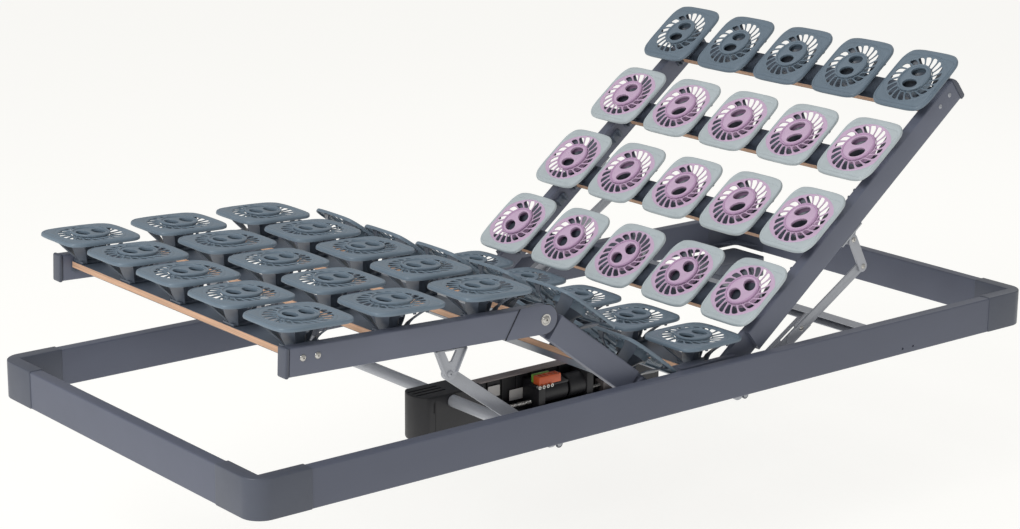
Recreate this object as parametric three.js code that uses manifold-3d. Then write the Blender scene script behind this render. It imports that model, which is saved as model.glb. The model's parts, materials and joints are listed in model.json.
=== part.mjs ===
// Adjustable slatted bed base, 900 x 2000 mm, with a leg lift and a back lift.
// Millimetres, +Z up, +X towards the head end, -Y is the sleeper's left side.
// The origin is the centre of the plane of the outer frame's underside.
import * as THREE from 'three';
import { mergeVertices } from 'three/addons/utils/BufferGeometryUtils.js';
import Module from 'manifold-3d';

const wasm = await Module();
wasm.setup();

// ---- driving dimensions -------------------------------------------------
const BASE_LENGTH = 2000;
const BASE_WIDTH = 900;
const FRAME_HEIGHT = 75;
const FRAME_THICKNESS = 26;
const CAP_SKIN = 1.5; // how far a corner cap stands proud of the rails
const CAP_LEG = 120;
const CAP_CORNER_RADIUS = 40;
const GAP = 0.3; // left between touching pieces

const RAIL_INNER = 380; // distance of a section rail's inner face from the middle
const RAIL_OUTER = 405;
const RAIL_HALF_HEIGHT = 26;
const LAP_SPLIT = 392.5; // the plane between the two halves of a lapped hinge
const LEG_LAP = 34; // full-thickness wood stops this far from a leg-side pivot
const BACK_LAP = 72;
const PIVOT_BORE = 5.5;
const PIVOT_PIN = 5;

const PIVOT_Z = 45;
const THIGH_PIVOT_X = -78;
const BACK_PIVOT_X = 163;
const THIGH_LENGTH = 311.4;
const THIGH_ANGLE = 36.9; // degrees above level in the drawn position
const CALF_ANGLE = 2.2;
const CALF_LENGTH = 566;
const BACK_ANGLE = 38.1;
const BACK_LENGTH = 794;
const END_CAP_THICKNESS = 12;

const CALF_ROWS = [518, 319, 119]; // slat centres, measured from the knee pivot
const THIGH_ROWS = [222, 20]; // from the thigh pivot
const BACK_ROWS = [137, 340, 544, 748]; // from the back pivot
const SEAT_ROW_X = 95;
const SEAT_STEP_X = 20; // the seat rail is low on the leg side of this, under the thigh's plates
const SEAT_STEP_TOP = 2;
const SLAT_WIDTH = 60;
const SLAT_BOTTOM = 0; // above the rail's centre line
const SLAT_TOP = 13;
const SLAT_HALF_LENGTH = 379.5;
const PLATES_PER_ROW = 5;
const PLATE_PITCH = 179;
const THIGH_PLATE_PITCH = 174; // narrower, so a lowered plate corner passes inside the frame
const PLATE_LENGTH = 164;
const PLATE_WIDTH = 148;
const PLATE_RADIUS = 36;
const PLATE_BOTTOM = 59;
const PLATE_TOP = 66;

const TUBE_RADIUS = 12.5;
const TUBE_Z = -17;
const LEG_TUBE_X = -291;
const BACK_TUBE_X = 195.5;
const JOURNAL_RADIUS = 5; // of the stubs that turn in the side brackets
const JOURNAL_END = 411;
const BRACKET_Y = [406.5, 409.5];
const LEVER_LENGTH = 60;
const LEG_ARM_END = [-540, 165];
const V_PIVOT = [-210, -75]; // in the calf section's own frame, from the knee
const BACK_ARM_END = [534.5, 192];
const BACK_LINK_TOP = [502, 254];
const LINK_EAR = [395.8, -44.7]; // in the back section's own frame
const ARM_Y = [383, 389]; // the leg arms
const BACK_CHANNEL_Y = [384, 390];
const BACK_BAR_Y = [389, 393];
const EAR_Y = [387, 393];
const OUTER_LINK_Y = [393.6, 398.6];
const V_BRACKET_Y = [389.8, 394.8];
const V_HALF_TOP = 37;
const LOOP_PIN = 4.2; // pins of the two opened pivots, loose in their holes
const LOOP_HOLE = 5.6;

const DRIVE_Y = [-82, -4];
const DRIVE_Z = [-96, 0];
const DRIVE_WALL = 8;
const DRIVE_FOOT_X = [-352, -212];
const DRIVE_HEAD_X = [150, 262];
const DRIVE_MIDDLE_Y = -43;
const SPINDLE_Z = -76;
const SLIDER_LENGTH = 60;
const LEG_SLIDER_GAP = 1;
const BACK_SLIDER_GAP = 4;
const LEVER_HALF_THICKNESS = 5;
const GROOVE_WIDTH = 5;
const GROOVE_DEPTH = 2.5;
const SPINDLE_RADIUS = 5;

// ---- materials ----------------------------------------------------------
const material = (color, roughness, metalness) => (
  new THREE.MeshStandardMaterial({ color, roughness, metalness })
);
const FOIL = material(0x68707d, 0.5, 0);
const CAP_PLASTIC = material(0x565e6b, 0.45, 0);
const PLATE_PLASTIC = material(0x74828e, 0.55, 0);
const TOUCH_PLASTIC = material(0xc9b4cf, 0.55, 0);
const STEEL = material(0x989ea6, 0.4, 0.6);
const DRIVE_PLASTIC = material(0x343236, 0.6, 0);
const BOLT = material(0xb8bcc0, 0.3, 0.9);

// ---- solid helpers ------------------------------------------------------
function solidOf(geometry) {
  const bare = geometry.clone();
  bare.deleteAttribute('normal');
  bare.deleteAttribute('uv');
  const merged = mergeVertices(bare, 1e-4);
  const vertProperties = new Float32Array(merged.attributes.position.array);
  const triVerts = new Uint32Array(merged.index.array);
  return new wasm.Manifold(new wasm.Mesh({ numProp: 3, vertProperties, triVerts }));
}

function geometryOf(solid) {
  const mesh = solid.getMesh();
  const geometry = new THREE.BufferGeometry();
  geometry.setAttribute('position', new THREE.BufferAttribute(new Float32Array(mesh.vertProperties), 3));
  geometry.setIndex(new THREE.BufferAttribute(new Uint32Array(mesh.triVerts), 1));
  geometry.computeVertexNormals();
  return geometry;
}

function join(...geometries) {
  const solids = geometries.map(solidOf);
  return geometryOf(solids.reduce((whole, piece) => whole.add(piece)));
}

function cut(base, ...tools) {
  let whole = solidOf(base);
  for (const tool of tools) whole = whole.subtract(solidOf(tool));
  return geometryOf(whole);
}

// A box given by its two limits on each axis.
function box([x0, x1], [y0, y1], [z0, z1]) {
  const geometry = new THREE.BoxGeometry(x1 - x0, y1 - y0, z1 - z0);
  return geometry.translate((x0 + x1) / 2, (y0 + y1) / 2, (z0 + z1) / 2);
}

// An outline drawn in X-Z, made solid between two Y planes.
function slab(shape, [y0, y1], curveSegments = 6) {
  const geometry = new THREE.ExtrudeGeometry(shape, { depth: y1 - y0, bevelEnabled: false, curveSegments });
  return geometry.rotateX(Math.PI / 2).translate(0, y1, 0);
}

// An outline drawn in X-Y, made solid between two heights.
function layer(shape, [z0, z1], curveSegments = 4) {
  const geometry = new THREE.ExtrudeGeometry(shape, { depth: z1 - z0, bevelEnabled: false, curveSegments });
  return geometry.translate(0, 0, z0);
}

function cylinderY([x, z], radius, [y0, y1], sides = 20) {
  return new THREE.CylinderGeometry(radius, radius, y1 - y0, sides).translate(x, (y0 + y1) / 2, z);
}

function cylinderX([y, z], radius, [x0, x1], sides = 20) {
  const geometry = new THREE.CylinderGeometry(radius, radius, x1 - x0, sides);
  return geometry.rotateZ(Math.PI / 2).translate((x0 + x1) / 2, y, z);
}

function polygon(points) {
  return new THREE.Shape(points.map(([x, y]) => new THREE.Vector2(x, y)));
}

function roundedRectangle(x0, x1, y0, y1, r) {
  const shape = new THREE.Shape();
  shape.moveTo(x0 + r, y0);
  shape.lineTo(x1 - r, y0);
  shape.absarc(x1 - r, y0 + r, r, -Math.PI / 2, 0);
  shape.lineTo(x1, y1 - r);
  shape.absarc(x1 - r, y1 - r, r, 0, Math.PI / 2);
  shape.lineTo(x0 + r, y1);
  shape.absarc(x0 + r, y1 - r, r, Math.PI / 2, Math.PI);
  shape.lineTo(x0, y0 + r);
  shape.absarc(x0 + r, y0 + r, r, Math.PI, 1.5 * Math.PI);
  return shape;
}

// A straight flat bar with round ends, from one X-Z point to another.
function flatBar([xa, za], [xb, zb], halfWidth, ySpan) {
  const turn = Math.atan2(zb - za, xb - xa);
  const shape = new THREE.Shape();
  shape.absarc(xb, zb, halfWidth, turn - Math.PI / 2, turn + Math.PI / 2);
  shape.absarc(xa, za, halfWidth, turn + Math.PI / 2, turn + 1.5 * Math.PI);
  return slab(shape, ySpan, 4);
}

// ---- scene graph helpers --------------------------------------------------
const bed = new THREE.Group();

function addMesh(parent, name, geometry, meshMaterial) {
  const mesh = new THREE.Mesh(geometry, meshMaterial);
  mesh.name = name;
  parent.add(mesh);
  return mesh;
}

// A section's frame: X along its rails, turned up by an angle about Y.
function sectionGroup(x, z, degrees) {
  const group = new THREE.Group();
  group.position.set(x, 0, z);
  group.rotation.y = THREE.MathUtils.degToRad(degrees);
  bed.add(group);
  return group;
}

const SIDES = [['left', -1], ['right', 1]];

// The Y limits on one side, from two distances from the middle.
const ySpan = (side, inner, outer) => (side > 0 ? [inner, outer] : [-outer, -inner]);

// ---- outer frame ----------------------------------------------------------
const HALF_LENGTH = BASE_LENGTH / 2;
const HALF_WIDTH = BASE_WIDTH / 2;
const FRAME_INNER_X = HALF_LENGTH - FRAME_THICKNESS;
const FRAME_INNER_Y = HALF_WIDTH - FRAME_THICKNESS;

function addOuterFrame() {
  const railEndX = HALF_LENGTH - CAP_CORNER_RADIUS - 2;
  const railEndY = HALF_WIDTH - CAP_CORNER_RADIUS - 2;
  for (const [name, side] of SIDES) {
    const rail = box([-railEndX, railEndX], ySpan(side, FRAME_INNER_Y, HALF_WIDTH), [0, FRAME_HEIGHT]);
    addMesh(bed, `side_rail_${name}`, rail, FOIL);
  }
  for (const [name, end] of [['foot', -1], ['head', 1]]) {
    const xSpan = ySpan(end, FRAME_INNER_X, HALF_LENGTH);
    addMesh(bed, `end_rail_${name}`, box(xSpan, [-railEndY, railEndY], [0, FRAME_HEIGHT]), FOIL);
    for (const [sideName, side] of SIDES) addCornerCap(`corner_cap_${name}_${sideName}`, end, side);
  }
}

// An L-shaped cap with a pocket for each rail and a shelf with a hollow edge across its inner corner.
function addCornerCap(name, end, side) {
  const outerX = HALF_LENGTH + CAP_SKIN;
  const outerY = HALF_WIDTH + CAP_SKIN;
  const innerX = FRAME_INNER_X - CAP_SKIN;
  const innerY = FRAME_INNER_Y - CAP_SKIN;
  const legX = HALF_LENGTH - CAP_LEG;
  const legY = HALF_WIDTH - CAP_LEG;
  const r = CAP_CORNER_RADIUS;
  const shape = new THREE.Shape();
  shape.moveTo(legX, innerY);
  shape.lineTo(innerX, innerY);
  shape.lineTo(innerX, legY);
  shape.lineTo(outerX, legY);
  shape.lineTo(outerX, outerY - r);
  shape.absarc(outerX - r, outerY - r, r, 0, Math.PI / 2);
  shape.lineTo(legX, outerY);
  const block = layer(shape, [0, FRAME_HEIGHT + CAP_SKIN], 6);

  const shelfReach = 78;
  const shelf = new THREE.Shape();
  shelf.moveTo(innerX + 1, innerY + 1);
  shelf.lineTo(innerX - shelfReach, innerY + 1);
  shelf.lineTo(innerX - shelfReach, innerY);
  shelf.quadraticCurveTo(innerX - 18, innerY - 18, innerX, innerY - shelfReach);
  shelf.lineTo(innerX + 1, innerY - shelfReach);
  const gusset = layer(shelf, [10, 14], 5);

  const pocketTop = FRAME_HEIGHT + GAP;
  const clearRail = [FRAME_INNER_Y - GAP, HALF_WIDTH + GAP];
  const clearEnd = [FRAME_INNER_X - GAP, HALF_LENGTH + GAP];
  const pocketX = box([legX - 1, HALF_LENGTH - r - 1], clearRail, [-1, pocketTop]);
  const pocketY = box(clearEnd, [legY - 1, HALF_WIDTH - r - 1], [-1, pocketTop]);
  const slots = [36, 26].map((inset) => (
    box([innerX - inset, innerX - inset + 6], [innerY - 22, innerY - 8], [5, 20])
  ));
  const geometry = cut(join(block, gusset), pocketX, pocketY, ...slots);
  geometry.scale(end, side, 1);
  if (end * side < 0) flipFaces(geometry);
  geometry.computeVertexNormals();
  addMesh(bed, name, geometry, CAP_PLASTIC);
}

// Turns every triangle round, after a mirrored scale.
function flipFaces(geometry) {
  const index = geometry.index.array;
  for (let i = 0; i < index.length; i += 3) [index[i], index[i + 1]] = [index[i + 1], index[i]];
}

function addCrossMember() {
  const reach = FRAME_INNER_Y - GAP;
  addMesh(bed, 'cross_member', box([655, 689], [-reach, reach], [-8, 10]), STEEL);
}

// A bearing plate that stands off a side rail's inner face and carries an arm's journal.
function addTubeBrackets() {
  const eye = JOURNAL_RADIUS + 3;
  for (const [tubeName, x] of [['leg', LEG_TUBE_X], ['back', BACK_TUBE_X]]) {
    for (const [name, side] of SIDES) {
      const shape = new THREE.Shape();
      shape.moveTo(x + 20, 50);
      shape.lineTo(x - 20, 50);
      shape.lineTo(x - 20, 14);
      shape.lineTo(x - eye, TUBE_Z);
      shape.absarc(x, TUBE_Z, eye, Math.PI, 2 * Math.PI);
      shape.lineTo(x + 20, 14);
      const plate = slab(shape, ySpan(side, ...BRACKET_Y), 6);
      const standOff = box([x - 20, x + 20], ySpan(side, BRACKET_Y[1] - 1, FRAME_INNER_Y - GAP), [22, 50]);
      const bore = cylinderY([x, TUBE_Z], JOURNAL_RADIUS + 0.5, ySpan(side, 400, 412), 16);
      addMesh(bed, `tube_bracket_${tubeName}_${name}`, cut(join(plate, standOff), bore), STEEL);
    }
  }
}

// ---- section rails ----------------------------------------------------------
// A lapped end: half of the rail's thickness, ending in a round eye about the pivot.
function lapEnd(pivotX, shoulderX, halfSpan) {
  const span = [Math.min(pivotX, shoulderX) - 0.01, Math.max(pivotX, shoulderX) + 0.01];
  const tongue = box(span, halfSpan, [-RAIL_HALF_HEIGHT, RAIL_HALF_HEIGHT]);
  return join(tongue, cylinderY([pivotX, 0], RAIL_HALF_HEIGHT, halfSpan, 28));
}

const pivotBore = (pivotX, side) => cylinderY([pivotX, 0], PIVOT_BORE, ySpan(side, 370, 420), 16);
const outerHalf = (side) => ySpan(side, LAP_SPLIT + GAP / 2, RAIL_OUTER);
const innerHalf = (side) => ySpan(side, RAIL_INNER, LAP_SPLIT - GAP / 2);
const fullBar = (xSpan, side) =>
  box(xSpan, ySpan(side, RAIL_INNER, RAIL_OUTER), [-RAIL_HALF_HEIGHT, RAIL_HALF_HEIGHT]);

// A hinge bolt: domed head outside, shank through both halves.
function addPivotBolt(parent, name, x, side, headFace) {
  const shank = cylinderY([x, 0], PIVOT_PIN, ySpan(side, RAIL_INNER + 0.5, headFace + 1), 16);
  const head = cylinderY([x, 0], 9, ySpan(side, headFace + GAP, headFace + 3), 16);
  const dome = cylinderY([x, 0], 6, ySpan(side, headFace + 2, headFace + 4.5), 12);
  addMesh(parent, name, join(shank, head, dome), BOLT);
}

function addSeat() {
  const seat = sectionGroup(0, PIVOT_Z, 0);
  for (const [name, side] of SIDES) {
    const half = outerHalf(side);
    const bar = fullBar([SEAT_STEP_X, BACK_PIVOT_X - BACK_LAP], side);
    const legEnd = cylinderY([THIGH_PIVOT_X, 0], RAIL_HALF_HEIGHT, half, 28);
    const lowSpan = [-RAIL_HALF_HEIGHT, SEAT_STEP_TOP];
    const lowTongue = box([THIGH_PIVOT_X, SEAT_STEP_X + 1], half, lowSpan);
    const lowBar = box([THIGH_PIVOT_X + LEG_LAP, SEAT_STEP_X + 1], ySpan(side, RAIL_INNER, RAIL_OUTER), lowSpan);
    const backEnd = lapEnd(BACK_PIVOT_X, BACK_PIVOT_X - BACK_LAP, half);
    const spacer = box([-30, 75], ySpan(side, RAIL_OUTER - 1, FRAME_INNER_Y - GAP), [-24, 0]);
    const bores = [pivotBore(THIGH_PIVOT_X, side), pivotBore(BACK_PIVOT_X, side)];
    const rail = join(bar, legEnd, lowTongue, lowBar, backEnd, spacer);
    addMesh(seat, `seat_rail_${name}`, cut(rail, ...bores), FOIL);
  }
  addSpringRow(seat, 'spring_row_seat', SEAT_ROW_X, PLATE_PLASTIC);
}

function addThigh() {
  const thigh = sectionGroup(THIGH_PIVOT_X, PIVOT_Z, THIGH_ANGLE);
  for (const [name, side] of SIDES) {
    const half = innerHalf(side);
    const bar = fullBar([LEG_LAP - THIGH_LENGTH, -LEG_LAP], side);
    const seatEnd = lapEnd(0, -LEG_LAP, half);
    const kneeEnd = lapEnd(-THIGH_LENGTH, LEG_LAP - THIGH_LENGTH, half);
    const bores = [pivotBore(0, side), pivotBore(-THIGH_LENGTH, side)];
    addMesh(thigh, `thigh_rail_${name}`, cut(join(bar, seatEnd, kneeEnd), ...bores), FOIL);
    addPivotBolt(thigh, `thigh_bolt_${name}`, 0, side, RAIL_OUTER);
  }
  THIGH_ROWS.forEach((along, i) => {
    addSpringRow(thigh, `spring_row_thigh_${i + 1}`, -along, PLATE_PLASTIC, THIGH_ROW_GEOMETRY);
  });
}

// The knee pivot in the bed's frame.
const thighRadians = THREE.MathUtils.degToRad(THIGH_ANGLE);
const KNEE_X = THIGH_PIVOT_X - THIGH_LENGTH * Math.cos(thighRadians);
const KNEE_Z = PIVOT_Z + THIGH_LENGTH * Math.sin(thighRadians);

function addCalf() {
  const calf = sectionGroup(KNEE_X, KNEE_Z, CALF_ANGLE);
  const knuckleRadius = 28;
  const knuckleFace = RAIL_OUTER + 2;
  for (const [name, side] of SIDES) {
    const bar = fullBar([-CALF_LENGTH, -LEG_LAP], side);
    const kneeEnd = lapEnd(0, -LEG_LAP, outerHalf(side));
    const knuckle = new THREE.Shape();
    knuckle.moveTo(-60, knuckleRadius);
    knuckle.lineTo(-92, -knuckleRadius);
    knuckle.lineTo(0, -knuckleRadius);
    knuckle.absarc(0, 0, knuckleRadius, -Math.PI / 2, Math.PI / 2);
    const cover = slab(knuckle, ySpan(side, RAIL_OUTER - 1, knuckleFace), 8);
    addMesh(calf, `calf_rail_${name}`, cut(join(bar, kneeEnd, cover), pivotBore(0, side)), FOIL);
    addPivotBolt(calf, `knee_bolt_${name}`, 0, side, knuckleFace);
    const capEnds = [-CALF_LENGTH - END_CAP_THICKNESS, -CALF_LENGTH - GAP];
    const cap = roundedRectangle(...capEnds, -RAIL_HALF_HEIGHT - 3, RAIL_HALF_HEIGHT + 2, 5);
    addMesh(calf, `calf_end_cap_${name}`, slab(cap, ySpan(side, RAIL_INNER - 2, RAIL_OUTER + 2)), CAP_PLASTIC);
    addVBracket(calf, name, side);
  }
  CALF_ROWS.forEach((along, i) => addSpringRow(calf, `spring_row_calf_${i + 1}`, -along, PLATE_PLASTIC));
}

// A V of sheet steel under the calf rail; its point carries the leg arm's pivot.
function addVBracket(calf, name, side) {
  const [x, z] = V_PIVOT;
  const top = -RAIL_HALF_HEIGHT - GAP;
  const outline = new THREE.Shape();
  outline.moveTo(x - V_HALF_TOP, top);
  outline.lineTo(x - 13, z - 4);
  outline.absarc(x, z, 13.6, Math.PI + 0.3, 2 * Math.PI - 0.3);
  outline.lineTo(x + V_HALF_TOP, top);
  const window = new THREE.Path();
  window.moveTo(x - 14, top - 6);
  window.lineTo(x + 14, top - 6);
  window.lineTo(x, z + 19);
  outline.holes.push(window);
  const web = slab(outline, ySpan(side, ...V_BRACKET_Y));
  const flange = box([x - V_HALF_TOP, x + V_HALF_TOP], ySpan(side, 381, V_BRACKET_Y[1]), [top - 4, top]);
  const hole = cylinderY([x, z], LOOP_HOLE, ySpan(side, 385, 410), 16);
  addMesh(calf, `v_bracket_${name}`, cut(join(web, flange), hole), STEEL);
}

function addBack() {
  const back = sectionGroup(BACK_PIVOT_X, PIVOT_Z, -BACK_ANGLE);
  for (const [name, side] of SIDES) {
    const bar = fullBar([BACK_LAP, BACK_LENGTH], side);
    const lowEnd = lapEnd(0, BACK_LAP, innerHalf(side));
    addMesh(back, `back_rail_${name}`, cut(join(bar, lowEnd), pivotBore(0, side)), FOIL);
    addPivotBolt(back, `back_bolt_${name}`, 0, side, RAIL_OUTER);
    const x0 = BACK_LENGTH + GAP;
    const x1 = BACK_LENGTH + END_CAP_THICKNESS;
    const low = -RAIL_HALF_HEIGHT - 2;
    const high = RAIL_HALF_HEIGHT + 5;
    const cap = polygon([
      [x0, low], [x1 - 3, low], [x1, low + 4], [x1, high - 22], [x1 - 7, high - 3], [x0, high],
    ]);
    addMesh(back, `back_end_cap_${name}`, slab(cap, ySpan(side, RAIL_INNER - 2, RAIL_OUTER + 2)), CAP_PLASTIC);
    addLinkEar(back, name, side);
  }
  BACK_ROWS.forEach((along, i) => {
    const top = i === BACK_ROWS.length - 1;
    addSpringRow(back, `spring_row_back_${i + 1}`, along, top ? PLATE_PLASTIC : TOUCH_PLASTIC);
  });
}

// A small ear under the back rail that carries the link's upper pivot.
function addLinkEar(back, name, side) {
  const [x, z] = LINK_EAR;
  const top = -RAIL_HALF_HEIGHT - GAP;
  const outline = new THREE.Shape();
  outline.moveTo(x - 32, top);
  outline.lineTo(x - 11, z - 3);
  outline.absarc(x, z, 11.4, Math.PI + 0.27, 2 * Math.PI - 0.27);
  outline.lineTo(x + 32, top);
  const web = slab(outline, ySpan(side, ...EAR_Y));
  const flange = box([x - 34, x + 34], ySpan(side, 381, 404), [top - 4, top]);
  const hole = cylinderY([x, z], PIVOT_BORE, ySpan(side, 380, 400), 16);
  addMesh(back, `link_ear_${name}`, cut(join(web, flange), hole), STEEL);
}

// ---- spring rows --------------------------------------------------------------
// A strut from a module's foot to a corner of its plate.
function strut(xFoot, yFoot, xPlate, yPlate) {
  const half = 5;
  const zFoot = 18;
  const zPlate = PLATE_BOTTOM + 1;
  const corners = [[-1, -1], [1, -1], [1, 1], [-1, 1]];
  const ring = (x, y, z) => corners.map(([i, j]) => [x + i * half, y + j * half, z]);
  const points = [...ring(xFoot, yFoot, zFoot), ...ring(xPlate, yPlate, zPlate)].flat();
  const index = [0, 2, 1, 0, 3, 2, 4, 5, 6, 4, 6, 7];
  for (let i = 0; i < 4; i += 1) {
    const j = (i + 1) % 4;
    index.push(i, j, j + 4, i, j + 4, i + 4);
  }
  const geometry = new THREE.BufferGeometry();
  geometry.setAttribute('position', new THREE.BufferAttribute(new Float32Array(points), 3));
  geometry.setIndex(index);
  return geometry;
}

// One slat with its end holders and five sprung plates, joined as one body.
function springRowGeometry(pitch) {
  const halfSlat = SLAT_WIDTH / 2;
  const slatY = [-SLAT_HALF_LENGTH + 2, SLAT_HALF_LENGTH - 2];
  const pieces = [box([-halfSlat, halfSlat], slatY, [SLAT_BOTTOM, SLAT_TOP])];
  for (const [, side] of SIDES) {
    pieces.push(box([-36, 36], ySpan(side, 364, SLAT_HALF_LENGTH), [SLAT_BOTTOM - 4, SLAT_TOP + 4]));
  }
  const halfLength = PLATE_LENGTH / 2;
  const halfWidth = PLATE_WIDTH / 2;
  for (let i = 0; i < PLATES_PER_ROW; i += 1) {
    const y = (i - (PLATES_PER_ROW - 1) / 2) * pitch;
    const outline = roundedRectangle(-halfLength, halfLength, y - halfWidth, y + halfWidth, PLATE_RADIUS);
    pieces.push(layer(outline, [PLATE_BOTTOM, PLATE_TOP], 1));
    pieces.push(box([-33, 33], [y - 21, y + 21], [SLAT_BOTTOM - 4, SLAT_TOP + 9]));
    for (const [xSign, ySign] of [[-1, -1], [1, -1], [1, 1], [-1, 1]]) {
      pieces.push(strut(xSign * 22, y + ySign * 10, xSign * 56, y + ySign * 40));
    }
  }
  return join(...pieces);
}

const ROW_GEOMETRY = springRowGeometry(PLATE_PITCH);
const THIGH_ROW_GEOMETRY = springRowGeometry(THIGH_PLATE_PITCH);

function addSpringRow(parent, name, x, plateMaterial, geometry = ROW_GEOMETRY) {
  addMesh(parent, name, geometry, plateMaterial).position.x = x;
}

// ---- lifting linkage ------------------------------------------------------------
// A torque tube between two arms, with the lever that its drive pushes.
function addTorqueTube(name, x, halfLength) {
  const tube = cylinderY([x, TUBE_Z], TUBE_RADIUS, [-halfLength, halfLength], 20);
  const xSpan = [x - LEVER_HALF_THICKNESS, x + LEVER_HALF_THICKNESS];
  const lever = box(xSpan, [DRIVE_MIDDLE_Y - 9, DRIVE_MIDDLE_Y + 9], [TUBE_Z - LEVER_LENGTH, TUBE_Z]);
  addMesh(bed, name, join(tube, lever), STEEL);
}

// The stub that turns in a side bracket, standing out of an arm's face.
const journal = (x, side, face) => (
  cylinderY([x, TUBE_Z], JOURNAL_RADIUS, ySpan(side, face - 1, JOURNAL_END), 16)
);

function addLegLinkage() {
  addTorqueTube('leg_torque_tube', LEG_TUBE_X, ARM_Y[0] - GAP);
  for (const [name, side] of SIDES) {
    const bar = flatBar([LEG_TUBE_X, TUBE_Z], LEG_ARM_END, 12.5, ySpan(side, ...ARM_Y));
    const pin = cylinderY(LEG_ARM_END, LOOP_PIN, ySpan(side, ARM_Y[1] - 1, V_BRACKET_Y[1] + 1), 16);
    const head = cylinderY(LEG_ARM_END, 8, ySpan(side, V_BRACKET_Y[1] + 0.6, V_BRACKET_Y[1] + 3.4), 16);
    addMesh(bed, `leg_arm_${name}`, join(bar, journal(LEG_TUBE_X, side, ARM_Y[1]), pin, head), STEEL);
  }
}

function addBackLinkage() {
  addTorqueTube('back_torque_tube', BACK_TUBE_X, BACK_CHANNEL_Y[0] - GAP);
  const overlap = [0.42, 0.58]; // where the upper bar starts and the channel ends, along the arm
  const along = (t) => [
    BACK_TUBE_X + t * (BACK_ARM_END[0] - BACK_TUBE_X),
    TUBE_Z + t * (BACK_ARM_END[1] - TUBE_Z),
  ];
  for (const [name, side] of SIDES) {
    const channel = flatBar(along(0), along(overlap[1]), 16, ySpan(side, ...BACK_CHANNEL_Y));
    const bar = flatBar(along(overlap[0]), along(1), 11.5, ySpan(side, ...BACK_BAR_Y));
    const adjuster = cylinderY(along(0.5), 6, ySpan(side, 392, 396), 12);
    const stub = journal(BACK_TUBE_X, side, BACK_CHANNEL_Y[1]);
    const hole = cylinderY(BACK_ARM_END, LOOP_HOLE, ySpan(side, 380, 400), 16);
    const arm = cut(join(channel, bar, adjuster, stub), hole);
    addMesh(bed, `back_arm_${name}`, arm, STEEL);
    const link = flatBar(BACK_ARM_END, BACK_LINK_TOP, 11.5, ySpan(side, ...OUTER_LINK_Y));
    const lowPin = cylinderY(BACK_ARM_END, LOOP_PIN, ySpan(side, 388.5, 394), 12);
    const topPin = cylinderY(BACK_LINK_TOP, PIVOT_PIN, ySpan(side, 386.5, 394), 12);
    const heads = [BACK_ARM_END, BACK_LINK_TOP].map((at) => cylinderY(at, 7, ySpan(side, 398, 401), 12));
    addMesh(bed, `back_link_${name}`, join(link, lowPin, topPin, ...heads), STEEL);
  }
}

// ---- drive ------------------------------------------------------------------------
// The tray that ties both ends together: floor, far wall with a flange, low near lip.
function addDriveHousing() {
  const [y0, y1] = DRIVE_Y;
  const [z0, z1] = DRIVE_Z;
  const floorTop = z0 + DRIVE_WALL;
  const traySpan = [DRIVE_FOOT_X[1] + GAP, DRIVE_HEAD_X[0] + 1];
  const floor = box(traySpan, [y0, y1], [z0, floorTop]);
  const farWall = box(traySpan, [y1 - DRIVE_WALL, y1], [z0, -18]);
  const flange = box(traySpan, [y1 - 24, y1 + 2], [-18.01, -15]);
  const nearLip = box(traySpan, [y0, y0 + DRIVE_WALL], [z0, floorTop + 8]);
  const headEnd = driveEnd(DRIVE_HEAD_X, [DRIVE_HEAD_X[0] - 1, DRIVE_HEAD_X[1] - DRIVE_WALL], 0);
  const bore = cylinderY([BACK_TUBE_X, TUBE_Z], TUBE_RADIUS + 0.5, [y0 - 5, y1 + 5], 20);
  addMesh(bed, 'drive_housing', cut(join(floor, farWall, flange, nearLip, headEnd), bore), DRIVE_PLASTIC);

  const [xa, xb] = DRIVE_FOOT_X;
  const footEnd = driveEnd(DRIVE_FOOT_X, [xa + DRIVE_WALL, xb + 1], -1);
  const footBore = cylinderY([LEG_TUBE_X, TUBE_Z], TUBE_RADIUS + 0.5, [y0 - 5, y1 + 5], 20);
  const grooves = [22, 36, 50].map((y) => (
    box([xa - 12, LEG_TUBE_X], [y0 + y, y0 + y + GROOVE_WIDTH], [z1 - GROOVE_DEPTH, z1 + 5])
  ));
  addMesh(bed, 'drive_end_foot', cut(footEnd, footBore, ...grooves), DRIVE_PLASTIC);
}

// A hollow end block, open towards the middle of the drive, with a bulged outer face.
function driveEnd([x0, x1], cavityX, bulgeSide) {
  const [y0, y1] = DRIVE_Y;
  const [z0, z1] = DRIVE_Z;
  const bulge = 23 * bulgeSide;
  const shape = new THREE.Shape();
  shape.moveTo(x0, y0);
  shape.lineTo(x1, y0);
  shape.lineTo(x1, y1);
  shape.lineTo(x0, y1);
  if (bulgeSide < 0) shape.quadraticCurveTo(x0 + 2 * bulge, (y0 + y1) / 2, x0, y0);
  const block = layer(shape, [z0, z1], 8);
  const cavity = box(cavityX, [y0 + DRIVE_WALL, y1 - DRIVE_WALL], [z0 + DRIVE_WALL, z1 - 6]);
  return cut(block, cavity);
}

// A motor with its gear case and the spindle that carries the slider's nut.
function addMotor(name, caseX, motorX, spindleX) {
  const gearCase = box(caseX, [-70, -16], [DRIVE_Z[0] + DRIVE_WALL + 0.5, -30]);
  const can = cylinderX([DRIVE_MIDDLE_Y, -58], 25, motorX, 24);
  const spindle = cylinderX([DRIVE_MIDDLE_Y, SPINDLE_Z], SPINDLE_RADIUS, spindleX, 14);
  addMesh(bed, name, join(gearCase, can, spindle), DRIVE_PLASTIC);
}

// A nut block with a blind bore round its spindle, pushing a lever with its closed end.
function addSlider(name, x0, closedSide) {
  const block = box([x0, x0 + SLIDER_LENGTH], [-57, -29], [DRIVE_Z[0] + DRIVE_WALL + 0.6, -65]);
  const boreX = closedSide < 0 ? [x0 + 6, x0 + SLIDER_LENGTH + 1] : [x0 - 1, x0 + SLIDER_LENGTH - 6];
  const bore = cylinderX([DRIVE_MIDDLE_Y, SPINDLE_Z], SPINDLE_RADIUS + 0.6, boreX, 14);
  addMesh(bed, name, cut(block, bore), BOLT);
}

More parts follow.
